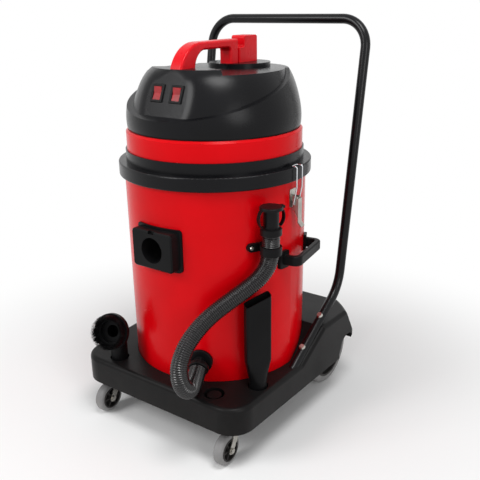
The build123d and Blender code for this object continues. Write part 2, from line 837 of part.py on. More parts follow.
save_pair(
    make_tyre(CASTER_X, CASTER_WHEEL_Y, CASTER_R, CASTER_W, CASTER_TYRE, CASTER_ROUND),
    "caster_tyre",
)
save_pair(
    make_hub(
        CASTER_X,
        CASTER_WHEEL_Y,
        CASTER_R,
        CASTER_R - CASTER_TYRE,
        CASTER_W + 2 * (FORK_GAP - SEAT),
        CASTER_AXLE_R + RUN,
        CASTER_BOSS,
        CASTER_WEB,
    ),
    "caster_hub",
)


# Tank: a moulded tub with a thick lip, open to the inlet and the drain
with BuildPart() as tank:
    with BuildSketch(facing(0)):
        Polygon(
            (0, TANK_FLOOR_Z),
            (TANK_LOW_R, TANK_FLOOR_Z),
            (tank_radius(TANK_TOP_Z - TANK_LIP_H), TANK_TOP_Z - TANK_LIP_H),
            (LIP_R, TANK_TOP_Z - TANK_LIP_H),
            (LIP_R, TANK_TOP_Z),
            (TANK_HIGH_R - TANK_WALL, TANK_TOP_Z),
            (TANK_LOW_R - TANK_WALL, TANK_FLOOR_Z + TANK_WALL),
            (0, TANK_FLOOR_Z + TANK_WALL),
            align=None,
        )
        corners = vertices().filter_by_position(Axis.X, TANK_LOW_R - TANK_WALL, TANK_LOW_R)
        corners = corners.filter_by_position(Axis.Y, TANK_FLOOR_Z, TANK_FLOOR_Z + TANK_WALL)
        fillet(corners, TANK_CORNER)
    revolve(axis=TANK_AXIS)
    with BuildSketch(radial(-90, 0, INLET_Z)):
        Circle(INLET_SLEEVE_R + SEAT)
    extrude(amount=LIP_R, mode=Mode.SUBTRACT)
    with BuildSketch(radial(DRAIN_ANGLE, 0, DRAIN_Z)):
        Circle(DRAIN_THREAD_R + SEAT)
    extrude(amount=LIP_R, mode=Mode.SUBTRACT)
    with BuildSketch(radial(HOSE_END_ANGLE, 0, CLIP_Z)):
        with Locations(*CLIP_SCREWS):
            Circle(CLIP_SHANK_R + RUN)
    extrude(amount=LIP_R, mode=Mode.SUBTRACT)
save(tank, "tank")


# Suction inlet: a block that hugs the wall, with a sleeve through it and a ring nut inside
WALL_R = tank_radius(INLET_Z)

with BuildPart() as inlet:
    with BuildSketch(radial(-90, WALL_R - INLET_FLANGE_T - INLET_W / 4, INLET_Z)):
        RectangleRounded(INLET_W + 2 * INLET_FLANGE, INLET_H + 2 * INLET_FLANGE, INLET_ROUND)
    extrude(amount=INLET_W / 2)
    with BuildSketch(level(TANK_FLOOR_Z)):
        Circle(TANK_HIGH_R + INLET_FLANGE_T)
    extrude(amount=TANK_TOP_Z - TANK_FLOOR_Z, mode=Mode.INTERSECT)
    with BuildSketch(radial(-90, INLET_FACE, INLET_Z)):
        RectangleRounded(INLET_W, INLET_H, INLET_ROUND)
    extrude(amount=-INLET_W / 2)
    chamfer(inlet.faces().sort_by(Axis.Y)[0].edges(), INLET_CHAMFER)
    with BuildSketch(level(INLET_Z + INLET_H / 2)):
        with Locations((0, -INLET_FACE)):
            Rectangle(CATCH_W, 2 * CATCH_DEPTH)
    extrude(amount=-CATCH_DEPTH, mode=Mode.SUBTRACT)
    add(tank_space.part, mode=Mode.SUBTRACT)
    with BuildSketch(radial(-90, WALL_R + SEAT, INLET_Z)):
        Circle(INLET_SLEEVE_R)
    extrude(amount=-INLET_SLEEVE_IN)
    with BuildSketch(radial(-90, WALL_R + SEAT, INLET_Z)):
        Circle(INLET_SLEEVE_R)
    extrude(amount=INLET_FLANGE_T)
    with BuildSketch(radial(-90, 0, INLET_Z)):
        Circle(INLET_BORE_R)
    extrude(amount=2 * INLET_FACE, mode=Mode.SUBTRACT)
save(inlet, "inlet_block")


def nut_depth(radius, angle_z):
    """Radius at which a flat ring of this size meets the inside of the tank's wall."""
    return math.sqrt((tank_radius(angle_z) - TANK_WALL) ** 2 - radius**2) - SEAT


with BuildPart() as inlet_nut:
    with BuildSketch(radial(-90, nut_depth(INLET_NUT_R, INLET_Z), INLET_Z)):
        RegularPolygon(INLET_NUT_R, INLET_NUT_SIDES)
        Circle(INLET_SLEEVE_R + SEAT, mode=Mode.SUBTRACT)
    extrude(amount=-INLET_NUT_T)
save(inlet_nut, "inlet_nut")


# Drain: a flange on the wall, a stub turned down, a nut inside and a cuff for the hose
DRAIN_R = tank_radius(DRAIN_Z)
A_DRAIN = math.radians(DRAIN_ANGLE)
T_DRAIN = math.radians(DRAIN_TILT)
STUB_DIR = (
    math.cos(T_DRAIN) * math.cos(A_DRAIN),
    math.cos(T_DRAIN) * math.sin(A_DRAIN),
    -math.sin(T_DRAIN),
)


def stub_plane(t):
    """Plane across the drain stub, t along it from the tank's wall."""
    wall = radial(DRAIN_ANGLE, DRAIN_R, DRAIN_Z).origin
    return Plane(origin=wall + Vector(*STUB_DIR) * t, x_dir=(1, 0, 0), z_dir=STUB_DIR)


CUFF_T = DRAIN_FLANGE_T + CUFF_R * math.tan(T_DRAIN)
HOSE_T = CUFF_T + CUFF_L

with BuildPart() as drain:
    with BuildSketch(radial(DRAIN_ANGLE, DRAIN_R - DRAIN_FLANGE_T, DRAIN_Z)):
        Circle(DRAIN_FLANGE_R)
    extrude(amount=2 * DRAIN_FLANGE_T)
    fillet(drain.faces().sort_by(Axis.Y)[0].edges(), DRAIN_FLANGE_T / 3)
    with BuildSketch(stub_plane(0)):
        Circle(DRAIN_STUB_R)
    extrude(amount=HOSE_T - SEAT)
    add(tank_space.part, mode=Mode.SUBTRACT)
    with BuildSketch(radial(DRAIN_ANGLE, DRAIN_R + SEAT, DRAIN_Z)):
        Circle(DRAIN_THREAD_R)
    extrude(amount=-DRAIN_STUB_IN)
    with BuildSketch(radial(DRAIN_ANGLE, DRAIN_R + SEAT, DRAIN_Z)):
        Circle(DRAIN_THREAD_R)
    extrude(amount=DRAIN_ROOT)
    with BuildSketch(radial(DRAIN_ANGLE, DRAIN_R - DRAIN_STUB_IN, DRAIN_Z)):
        Circle(DRAIN_BORE_R)
    extrude(amount=DRAIN_STUB_IN, mode=Mode.SUBTRACT)
    with BuildSketch(stub_plane(0)):
        Circle(DRAIN_BORE_R)
    extrude(amount=HOSE_T, mode=Mode.SUBTRACT)
save(drain, "drain_outlet")

with BuildPart() as drain_nut:
    with BuildSketch(radial(DRAIN_ANGLE, nut_depth(DRAIN_NUT_R, DRAIN_Z), DRAIN_Z)):
        RegularPolygon(DRAIN_NUT_R, HEX)
        Circle(DRAIN_THREAD_R + SEAT, mode=Mode.SUBTRACT)
    extrude(amount=-DRAIN_NUT_T)
save(drain_nut, "drain_nut")

with BuildPart() as drain_cuff:
    with BuildSketch(stub_plane(CUFF_T)):
        Circle(CUFF_R)
        Circle(DRAIN_STUB_R + SEAT, mode=Mode.SUBTRACT)
    extrude(amount=CUFF_L)
    chamfer(drain_cuff.edges().filter_by(GeomType.CIRCLE).group_by(Edge.length)[-1], CUFF_CHAMFER)
save(drain_cuff, "drain_cuff")


# Drain hose: straight runs and arcs, ribbed outside and bored through
def hose_points():
    start = stub_plane(HOSE_T).origin
    first = stub_plane(HOSE_T + HOSE_LEAD).origin
    middle = [Vector(x, AXIS_Y + y, z) for x, y, z in HOSE_ROUTE]
    last = middle[-1]
    return [start, first, *middle, Vector(last.X, last.Y, HOSE_TOP_Z)]


def bend_radii(points):
    """Radius of each arc: a share of the shorter run over the tangent of half the turn."""
    radii = []
    for before, here, after in zip(points, points[1:], points[2:]):
        turn = (here - before).get_angle(after - here)
        shorter = min((here - before).length, (after - here).length)
        radii.append(HOSE_ARC_SHARE * shorter / math.tan(math.radians(turn / 2)))
    return radii


HOSE_POINTS = hose_points()
HOSE_BENDS = bend_radii(HOSE_POINTS)
print("hose bend radii", [round(r) for r in HOSE_BENDS])

with BuildPart() as drain_hose:
    with BuildLine() as hose_line:
        FilletPolyline(*HOSE_POINTS, radius=HOSE_BENDS)
    path = hose_line.wire()
    pitch = path.length / HOSE_RIBS
    for rib in range(HOSE_RIBS):
        for share, radius in HOSE_RIB_FORM:
            t = (rib + share) / HOSE_RIBS
            with BuildSketch(Plane(origin=path @ t, x_dir=(1, 0, 0), z_dir=path % t)):
                Circle(radius)
    with BuildSketch(Plane(origin=path @ 1, x_dir=(1, 0, 0), z_dir=path % 1)):
        Circle(HOSE_ROOT_R)
    loft(ruled=True)
    with BuildSketch(Plane(origin=path @ 0, x_dir=(1, 0, 0), z_dir=path % 0)):
        Circle(HOSE_BORE_R)
    sweep(path=path, mode=Mode.SUBTRACT)
bare_wall = math.pi * (HOSE_ROOT_R**2 - HOSE_BORE_R**2) * path.length
print("hose length", round(path.length, 1), "rib pitch", round(pitch, 2))
print("hose volume", round(drain_hose.part.volume), "without its ribs", round(bare_wall))
save(drain_hose, "drain_hose")


# Hose clip: a plate on the wall, a band round the hose and a screw through each ear
CLIP_BORE = HOSE_R + SEAT
CLIP_FACE_R = TANK_HIGH_R + CLIP_PLATE

with BuildPart() as hose_clip:
    with BuildSketch(radial(HOSE_END_ANGLE, 0, CLIP_Z)):
        SlotOverall(CLIP_SPAN, CLIP_H)
    extrude(amount=CLIP_FACE_R)
    with BuildSketch(radial(HOSE_END_ANGLE, 0, CLIP_Z)):
        Rectangle(CLIP_BORE + CLIP_BAND, CLIP_H)
    extrude(amount=HOSE_END_R)
    with BuildSketch(level(CLIP_Z - CLIP_H / 2)):
        with Locations((HOSE_END_X, HOSE_END_Y)):
            Circle(CLIP_BORE + CLIP_BAND)
    extrude(amount=CLIP_H)
    with BuildSketch(level(CLIP_Z - CLIP_H / 2)):
        with Locations((HOSE_END_X, HOSE_END_Y)):
            Circle(CLIP_BORE)
    extrude(amount=CLIP_H, mode=Mode.SUBTRACT)
    add(tank_space.part, mode=Mode.SUBTRACT)
    with BuildSketch(radial(HOSE_END_ANGLE, 0, CLIP_Z)):
        with Locations(*CLIP_SCREWS):
            Circle(CLIP_SHANK_R + RUN)
    extrude(amount=CLIP_FACE_R, mode=Mode.SUBTRACT)
save(hose_clip, "hose_clip")

with BuildPart() as clip_screws:
    with BuildSketch(radial(HOSE_END_ANGLE, CLIP_FACE_R, CLIP_Z)):
        with Locations(*CLIP_SCREWS):
            Circle(CLIP_SHANK_R)
    extrude(amount=-CLIP_PLATE - 2 * TANK_WALL - CLIP_SCREW_H)
    with BuildSketch(radial(HOSE_END_ANGLE, CLIP_FACE_R, CLIP_Z)):
        with Locations(*CLIP_SCREWS):
            Circle(CLIP_SCREW_R)
    extrude(amount=CLIP_SCREW_H, taper=SCREW_TAPER)
save(clip_screws, "clip_screws")


# End of the drain hose: a collar with a neck, and the stopper that plugs it
NECK_TOP_Z = HOSE_TOP_Z + COLLAR_H + NECK_H

with BuildPart() as hose_collar:
    with BuildSketch(turning(HOSE_END_X, HOSE_END_Y, HOSE_TOP_Z)):
        Polygon(
            (NECK_BORE_R, -COLLAR_SPIGOT),
            (HOSE_BORE_R - SEAT, -COLLAR_SPIGOT),
            (HOSE_BORE_R - SEAT, 0),
            (COLLAR_R, 0),
            (COLLAR_R, COLLAR_H),
            (NECK_R, COLLAR_H + CUFF_CHAMFER),
            (NECK_R, COLLAR_H + NECK_H),
            (NECK_BORE_R, COLLAR_H + NECK_H),
            align=None,
        )
    revolve(axis=Axis((HOSE_END_X, AXIS_Y + HOSE_END_Y, 0), (0, 0, 1)))
save(hose_collar, "hose_collar")

with BuildPart() as stopper:
    with BuildSketch(level(NECK_TOP_Z - PLUG_L)):
        with Locations((HOSE_END_X, HOSE_END_Y)):
            Circle(NECK_BORE_R - SEAT)
    extrude(amount=PLUG_L + SEAT)
    with BuildSketch(level(NECK_TOP_Z + SEAT)):
        with Locations((HOSE_END_X, HOSE_END_Y)):
            Circle(STOPPER_R)
            with PolarLocations(STOPPER_R, 1, start_angle=HOSE_END_ANGLE + 90):
                Rectangle(STOPPER_TAB, STOPPER_TAB)
    extrude(amount=STOPPER_T)
    fillet(stopper.faces().sort_by(Axis.Z)[-1].edges(), STOPPER_T / 3)
    strap_low = HOSE_TOP_Z + COLLAR_H + CUFF_CHAMFER + SEAT
    strap_top = NECK_TOP_Z + SEAT + STOPPER_T / 2
    strap_mid = (strap_low + strap_top) / 2
    for sign in SIDES.values():
        with BuildSketch(radial(HOSE_END_ANGLE, HOSE_END_R, 0)):
            with BuildLine():
                ThreePointArc(
                    (sign * (STOPPER_R - STRAP_T), strap_top),
                    (sign * (STOPPER_R + STRAP_BOW), strap_mid),
                    (sign * COLLAR_R, strap_low),
                )
                Line((sign * COLLAR_R, strap_low), (sign * (COLLAR_R - STRAP_T), strap_low))
                ThreePointArc(
                    (sign * (COLLAR_R - STRAP_T), strap_low),
                    (sign * (STOPPER_R + STRAP_BOW - STRAP_T), strap_mid),
                    (sign * (STOPPER_R - 2 * STRAP_T), strap_top),
                )
                Line(
                    (sign * (STOPPER_R - 2 * STRAP_T), strap_top),
                    (sign * (STOPPER_R - STRAP_T), strap_top),
                )
            make_face()
        extrude(amount=STRAP_W / 2, both=True)
save(stopper, "drain_stopper")


# Side grip: a square loop on two feet that hug the wall
def grip_level(z):
    """A flat plane at height z, with x out through the middle of the grip."""
    a = math.radians(GRIP_ANGLE)
    return Plane(origin=(0, AXIS_Y, z), x_dir=(math.cos(a), math.sin(a), 0), z_dir=(0, 0, 1))


with BuildPart() as grip_feet:
    with BuildSketch(radial(GRIP_ANGLE, 0, GRIP_Z)):
        for end in (-1, 1):
            with Locations((end * (GRIP_HALF - GRIP_BAR / 2), 0)):
                RectangleRounded(GRIP_FOOT, GRIP_FOOT_H, GRIP_EDGE)
    extrude(amount=TANK_HIGH_R + GRIP_FOOT_T)
    with BuildSketch(level(GRIP_Z - GRIP_FOOT_H)):
        Circle(TANK_HIGH_R + GRIP_FOOT_T)
    extrude(amount=2 * GRIP_FOOT_H, mode=Mode.INTERSECT)

with BuildPart() as side_grip:
    with BuildSketch(grip_level(GRIP_Z - GRIP_H / 2)):
        with Locations((GRIP_OUT / 2, 0)):
            Rectangle(GRIP_OUT, 2 * GRIP_HALF)
        fillet(vertices().group_by(Axis.X)[-1], GRIP_ROUND)
        with Locations(((GRIP_OUT - GRIP_BAR) / 2, 0)):
            RectangleRounded(
                GRIP_OUT - GRIP_BAR, 2 * (GRIP_HALF - GRIP_BAR), GRIP_ROUND / 2, mode=Mode.SUBTRACT
            )
    extrude(amount=GRIP_H)
    middle = Vector(0, AXIS_Y, GRIP_Z)
    rims = side_grip.faces().filter_by(Axis.Z).edges()
    fillet(rims.filter_by(lambda e: (e.center() - middle).length > GRIP_HALF), GRIP_EDGE)
    add(grip_feet.part)
    add(tank_space.part, mode=Mode.SUBTRACT)
save(side_grip, "side_grip_right")


# Head: a base plate on the seal, a rim whose skirt hides the tank's lip, a ring and the red band
with BuildPart() as head_base:
    with BuildSketch(level(SEAL_TOP_Z)):
        Circle(RIM_R - RIM_WALL - SEAT)
        with Locations((-MOTOR_X, 0), (MOTOR_X, 0)):
            Circle(EYE_R, mode=Mode.SUBTRACT)
    extrude(amount=BASE_PLATE)
save(head_base, "head_base")

with BuildPart() as head_rim:
    with BuildSketch(facing(0)):
        Polygon(
            (COLLAR_RING_R - RING_WALL, PLATE_TOP_Z),
            (RIM_R - RIM_WALL, PLATE_TOP_Z),
            (RIM_R - RIM_WALL, RIM_LOW_Z),
            (RIM_R, RIM_LOW_Z),
            (RIM_R, RIM_TOP_Z),
            (COLLAR_RING_R - RING_WALL, RIM_TOP_Z),
            align=None,
        )
        fillet(vertices().filter_by_position(Axis.X, RIM_R, RIM_R), RIM_ROUND)
    revolve(axis=TANK_AXIS)
save(head_rim, "head_rim")

with BuildPart() as head_ring:
    with BuildSketch(facing(0)):
        Polygon(
            (COLLAR_RING_R - RING_WALL, RIM_TOP_Z),
            (COLLAR_RING_R, RIM_TOP_Z),
            (COLLAR_RING_R, RING_TOP_Z),
            (BAND_SEAT_R, RING_TOP_Z),
            (BAND_SEAT_R, RING_TOP_Z + BAND_LIP_H),
            (BAND_SEAT_R - BAND_LIP, RING_TOP_Z + BAND_LIP_H),
            (BAND_SEAT_R - BAND_LIP, RING_TOP_Z - RING_WALL),
            (COLLAR_RING_R - RING_WALL, RING_TOP_Z - RING_WALL),
            align=None,
        )
    revolve(axis=TANK_AXIS)
save(head_ring, "head_ring")

with BuildPart() as head_seal:
    with BuildSketch(level(TANK_TOP_Z)):
        Circle(LIP_R)
        Circle(TANK_HIGH_R - TANK_WALL, mode=Mode.SUBTRACT)
    extrude(amount=SEAL_H)
save(head_seal, "head_seal")

with BuildPart() as red_band:
    with BuildSketch(facing(0)):
        Polygon(
            (BAND_R, RING_TOP_Z),
            (BAND_R, BAND_TOP_Z - BAND_SLOPE),
            (BAND_R - BAND_SLOPE, BAND_TOP_Z),
            (BAND_SHELF_R, BAND_TOP_Z),
            (BAND_SHELF_R, BAND_TOP_Z - BAND_WALL),
            (BAND_R - BAND_WALL, BAND_TOP_Z - BAND_WALL),
            (BAND_R - BAND_WALL, RING_TOP_Z),
            align=None,
        )
    revolve(axis=TANK_AXIS)
    with BuildSketch(level(BAND_TOP_Z - BAND_SLOPE)):
        with PolarLocations(BAND_R - BAND_SLOPE / 2, BAND_TICKS):
            Rectangle(BAND_SLOPE, TICK_W)
    extrude(amount=TICK_DEPTH, mode=Mode.SUBTRACT)
save(red_band, "red_band")


# Motor cover: a rounded hood that rises out of a lower shell with a sloping ledge
LEAN = math.radians(PANEL_LEAN)
PANEL_OUT = (0, -math.cos(LEAN), math.sin(LEAN))
SWITCHES = (-SWITCH_X, SWITCH_X)


def panel(x, proud):
    """Plane on the switch panel at x, standing proud of it and facing out."""
    foot = Vector(x, AXIS_Y + PANEL_Y, PANEL_Z)
    return Plane(origin=foot + Vector(*PANEL_OUT) * proud, x_dir=(1, 0, 0), z_dir=PANEL_OUT)


def cover_section(height, half_width, half_length, shift, inset):
    with BuildSketch(Plane(origin=(0, AXIS_Y + shift, COVER_Z + height))) as section:
        Ellipse(half_width - inset, half_length - inset)
    return section.sketch


with BuildPart() as lower_cover:
    loft([cover_section(*row, 0) for row in LOWER_COVER])
    ledge = math.radians(LEDGE_ANGLE)
    split(
        bisect_by=Plane(
            origin=(0, AXIS_Y - LOWER_COVER[1][2], LEDGE_FRONT_Z),
            x_dir=(1, 0, 0),
            z_dir=(0, -math.sin(ledge), math.cos(ledge)),
        ),
        keep=Keep.BOTTOM,
    )
    ledge_face = lower_cover.faces().filter_by(GeomType.PLANE).sort_by(Axis.Z)[-1]
    fillet(ledge_face.edges(), LEDGE_ROUND)

with BuildPart() as cover_hollow:
    loft([cover_section(*row, COVER_WALL) for row in HOOD])
    split(bisect_by=level(SHELF_Z - COVER_WALL), keep=Keep.BOTTOM)
    split(bisect_by=panel(0, -COVER_WALL), keep=Keep.BOTTOM)

with BuildPart() as motor_cover:
    loft([cover_section(*row, 0) for row in HOOD])
    split(bisect_by=panel(0, 0), keep=Keep.BOTTOM)
    switch_face = motor_cover.faces().filter_by(GeomType.PLANE).sort_by(Axis.Y)[0]
    fillet(switch_face.edges(), PANEL_ROUND)
    add(lower_cover.part)
    with BuildSketch(level(SHELF_Z)):
        Circle(COVER_FOOT_R)
        with Locations((0, TONGUE_Y)):
            Circle(TONGUE_R, mode=Mode.SUBTRACT)
    extrude(amount=SHELF_Z - COVER_Z, mode=Mode.SUBTRACT)
    with BuildSketch(level(SHELF_Z)):
        with Locations((0, PLINTH_Y)):
            Circle(PLINTH_R)
    extrude(amount=PLINTH_H)
    add(cover_hollow.part, mode=Mode.SUBTRACT)
    with BuildSketch(level(BAND_TOP_Z)):
        Circle(COVER_FOOT_R)
        Circle(COVER_FOOT_R - COVER_FOOT, mode=Mode.SUBTRACT)
    extrude(amount=COVER_GAP)
    for x in SWITCHES:
        with BuildSketch(panel(x, 0)):
            Rectangle(
                SWITCH_W - 2 * (SWITCH_BODY_IN - SEAT), SWITCH_H - 2 * (SWITCH_BODY_IN - SEAT)
            )
        extrude(amount=-SWITCH_DEPTH, mode=Mode.SUBTRACT)
    with BuildSketch(facing(0)):
        with Locations((0, GLAND_Z)):
            Circle(GLAND_R + RUN)
    extrude(amount=-BAND_R, mode=Mode.SUBTRACT)
save(motor_cover, "motor_cover")

GLAND_Y = LOWER_COVER[1][2]
with BuildPart() as cable_gland:
    with BuildSketch(facing(GLAND_Y - 2 * COVER_WALL - COVER_FOOT)):
        with Locations((0, GLAND_Z)):
            Circle(GLAND_R)
    extrude(amount=-GLAND_L - 2 * COVER_WALL - COVER_FOOT)
    with BuildSketch(facing(GLAND_Y + 2 * SEAT)):
        with Locations((0, GLAND_Z)):
            Circle(GLAND_FLANGE_R)
    extrude(amount=-GLAND_FLANGE_T)
    with BuildSketch(facing(0)):
        with Locations((0, GLAND_Z)):
            Circle(GLAND_BORE_R)
    extrude(amount=-2 * GLAND_Y, mode=Mode.SUBTRACT)
save(cable_gland, "cable_gland")


# Switches: two frames in the panel, each with a rocker on its own pins
with BuildPart() as switch_frames:
    for x in SWITCHES:
        with BuildSketch(panel(x, 0)):
            RectangleRounded(SWITCH_W, SWITCH_H, SWITCH_BODY_IN)
        extrude(amount=SWITCH_LIP, taper=SWITCH_TAPER)
        with BuildSketch(panel(x, 0)):
            Rectangle(SWITCH_W - 2 * SWITCH_BODY_IN, SWITCH_H - 2 * SWITCH_BODY_IN)
        extrude(amount=-SWITCH_DEPTH)
        with BuildSketch(panel(x, SWITCH_LIP)):
            Rectangle(ROCKER_W + 2 * ROCKER_SIDE_GAP, ROCKER_H + 2 * ROCKER_GAP)
        extrude(amount=-SWITCH_LIP - SWITCH_WELL, mode=Mode.SUBTRACT)
        pivot = panel(x, -ROCKER_PIVOT)
        with BuildSketch(Plane(origin=pivot.origin, x_dir=pivot.y_dir, z_dir=(1, 0, 0))):
            Circle(ROCKER_PIN_R + RUN)
        extrude(
            amount=ROCKER_W / 2 + ROCKER_SIDE_GAP + ROCKER_PIN_L, both=True, mode=Mode.SUBTRACT
        )
save(switch_frames, "switch_frames")

with BuildPart() as rocker:
    pivot = panel(SWITCH_X, -ROCKER_PIVOT)
    tip = math.radians(ROCKER_TILT / 2)
    up = pivot.y_dir * math.cos(tip) + pivot.z_dir * math.sin(tip)
    tilted = Plane(origin=pivot.origin, x_dir=up, z_dir=(1, 0, 0))
    with BuildSketch(tilted):
        Polygon(
            (-ROCKER_H / 2, ROCKER_PROUD),
            (0, ROCKER_PROUD - ROCKER_DISH),
            (ROCKER_H / 2, ROCKER_PROUD),
            (ROCKER_H / 2, -ROCKER_BODY),
            (-ROCKER_H / 2, -ROCKER_BODY),
            align=None,
        )
    extrude(amount=ROCKER_W / 2, both=True)
    with BuildSketch(tilted):
        Circle(ROCKER_PIN_R)
    extrude(amount=ROCKER_W / 2 + ROCKER_PIN_L, both=True)
save_pair(rocker, "switch_rocker")


# Carry handle and the cord hook behind it, on top of the cover
PLINTH_Z = SHELF_Z + PLINTH_H
CARRY_LOW_Z = CARRY_TOP_Z - CARRY_BAR

with BuildPart() as carry_handle:
    with BuildSketch(side(0)):
        with BuildLine():
            RadiusArc((CARRY_FRONT, COVER_TOP_Z), (CARRY_CREST, CARRY_TOP_Z), CARRY_ARCH)
            Polyline(
                (CARRY_CREST, CARRY_TOP_Z),
                (CARRY_REAR, CARRY_TOP_Z),
                (CARRY_REAR, PLINTH_Z),
                (CARRY_GAP_REAR, PLINTH_Z),
                (CARRY_GAP_REAR, CARRY_LOW_Z),
                (CARRY_GAP_CREST, CARRY_LOW_Z),
            )
            RadiusArc(
                (CARRY_GAP_CREST, CARRY_LOW_Z), (CARRY_GAP_FRONT, COVER_TOP_Z), -CARRY_GAP_ARCH
            )
            Line((CARRY_GAP_FRONT, COVER_TOP_Z), (CARRY_FRONT, COVER_TOP_Z))
        make_face()
        rear_corners = vertices().filter_by_position(Axis.X, CARRY_GAP_REAR, CARRY_GAP_REAR)
        fillet(rear_corners.sort_by(Axis.Y)[-1], CARRY_BAR / 2)
    extrude(amount=CARRY_W / 2, both=True)
    rims = carry_handle.faces().filter_by(Axis.X).edges()
    fillet(rims.filter_by(lambda e: e.center().Z > COVER_TOP_Z + SEAT), CARRY_ROUND)
save(carry_handle, "carry_handle")

with BuildPart() as cord_hook:
    with BuildSketch(side(0)):
        Polygon(
            (CARRY_REAR + HOOK_GAP, PLINTH_Z),
            (CARRY_REAR + HOOK_GAP, HOOK_STEP_Z),
            (HOOK_STEP_Y, HOOK_STEP_Z),
            (HOOK_STEP_Y, HOOK_TOP_Z),
            (CARRY_REAR + HOOK_GAP + HOOK_L, HOOK_TOP_Z),
            (CARRY_REAR + HOOK_GAP + HOOK_L, PLINTH_Z),
            align=None,
        )
        fillet(vertices().filter_by_position(Axis.Y, HOOK_STEP_Z, HOOK_TOP_Z), HOOK_ROUND)
    extrude(amount=HOOK_W / 2, both=True)
    rims = cord_hook.faces().filter_by(Axis.X).edges()
    fillet(rims.filter_by(lambda e: e.center().Z > PLINTH_Z + SEAT), HOOK_ROUND / 2)
save(cord_hook, "cord_hook")


# Two motors on the base plate, each a fan case and a frame round a spinning rotor
MOTOR_Z = PLATE_TOP_Z + MOTOR_PAD
FAN_TOP_Z = MOTOR_Z + FAN_CASE_H
FRAME_TOP_Z = FAN_TOP_Z + FRAME_H
MOTOR_AXIS = Axis((MOTOR_X, AXIS_Y, 0), (0, 0, 1))

with BuildPart() as motor_housing:
    with BuildSketch(turning(MOTOR_X, 0, 0)):
        Polygon(
            (EYE_R, MOTOR_Z),
            (MOTOR_R, MOTOR_Z),
            (MOTOR_R, FAN_TOP_Z),
            (FRAME_R, FAN_TOP_Z),
            (FRAME_R, FRAME_TOP_Z),
            (SHAFT_R + RUN, FRAME_TOP_Z),
            (SHAFT_R + RUN, FRAME_TOP_Z - MOTOR_WALL),
            (FRAME_R - MOTOR_WALL, FRAME_TOP_Z - MOTOR_WALL),
            (FRAME_R - MOTOR_WALL, FAN_TOP_Z),
            (SHAFT_R + RUN, FAN_TOP_Z),
            (SHAFT_R + RUN, FAN_TOP_Z - MOTOR_WALL),
            (MOTOR_R - MOTOR_WALL, FAN_TOP_Z - MOTOR_WALL),
            (MOTOR_R - MOTOR_WALL, MOTOR_Z + MOTOR_WALL),
            (EYE_R, MOTOR_Z + MOTOR_WALL),
            align=None,
        )
    revolve(axis=MOTOR_AXIS)
save_both(motor_housing, "motor_housings")

with BuildPart() as motor_rotor:
    with BuildSketch(level(MOTOR_Z + FAN_LIFT)):
        with Locations((MOTOR_X, 0)):
            Circle(SHAFT_R)
    extrude(amount=FRAME_TOP_Z + SHAFT_END - MOTOR_Z - FAN_LIFT)
    with BuildSketch(level(MOTOR_Z + FAN_LIFT + VANE_H)):
        with Locations((MOTOR_X, 0)):
            Circle(FAN_R)
    extrude(amount=FAN_T)
    with BuildSketch(level(MOTOR_Z + FAN_LIFT)):
        with Locations((MOTOR_X, 0)):
            with PolarLocations(FAN_R - VANE_L / 2, VANES):
                Rectangle(VANE_L, VANE_T)
    extrude(amount=VANE_H)
    with BuildSketch(level(FAN_TOP_Z + ARMATURE_LIFT)):
        with Locations((MOTOR_X, 0)):
            Circle(ARMATURE_R)
    extrude(amount=ARMATURE_H)
save_pair(motor_rotor, "motor_rotor")

with BuildPart() as motor_gasket:
    with BuildSketch(level(PLATE_TOP_Z)):
        with Locations((MOTOR_X, 0)):
            Circle(MOTOR_R)
            Circle(EYE_R, mode=Mode.SUBTRACT)
    extrude(amount=MOTOR_PAD)
save_both(motor_gasket, "motor_gaskets")


# Under the base plate: the suction chamber, a float that shuts its port, and the filter
CHAMBER_Z = SEAL_TOP_Z - CHAMBER_H

with BuildPart() as suction_chamber:
    with BuildSketch(facing(0)):
        Polygon(
            (CHAMBER_R, SEAL_TOP_Z),
            (CHAMBER_R, CHAMBER_Z),
            (CHAMBER_PORT_R, CHAMBER_Z),
            (CHAMBER_PORT_R, CHAMBER_Z + CHAMBER_WALL),
            (CHAMBER_R - CHAMBER_WALL, CHAMBER_Z + CHAMBER_WALL),
            (CHAMBER_R - CHAMBER_WALL, SEAL_TOP_Z),
            align=None,
        )
    revolve(axis=TANK_AXIS)
save(suction_chamber, "suction_chamber")

FLOAT_FLOOR_Z = CHAMBER_Z - FLOAT_CAGE_H

with BuildPart() as float_cage:
    with BuildSketch(level(CHAMBER_Z - CAGE_RING)):
        Circle(FLOAT_CAGE_R)
        Circle(FLOAT_CAGE_R - CAGE_RING, mode=Mode.SUBTRACT)
    extrude(amount=CAGE_RING)
    with BuildSketch(level(FLOAT_FLOOR_Z)):
        with PolarLocations(FLOAT_CAGE_R - CAGE_RING / 2, FLOAT_BARS):
            Circle(FLOAT_BAR_R)
    extrude(amount=FLOAT_CAGE_H)
    with BuildSketch(level(FLOAT_FLOOR_Z)):
        Circle(FLOAT_CAGE_R)
    extrude(amount=CAGE_RING)
save(float_cage, "float_cage")

with BuildPart() as float_ball:
    with Locations((0, AXIS_Y, FLOAT_FLOOR_Z + CAGE_RING + SEAT + FLOAT_R)):
        Sphere(FLOAT_R)
save(float_ball, "float_ball")

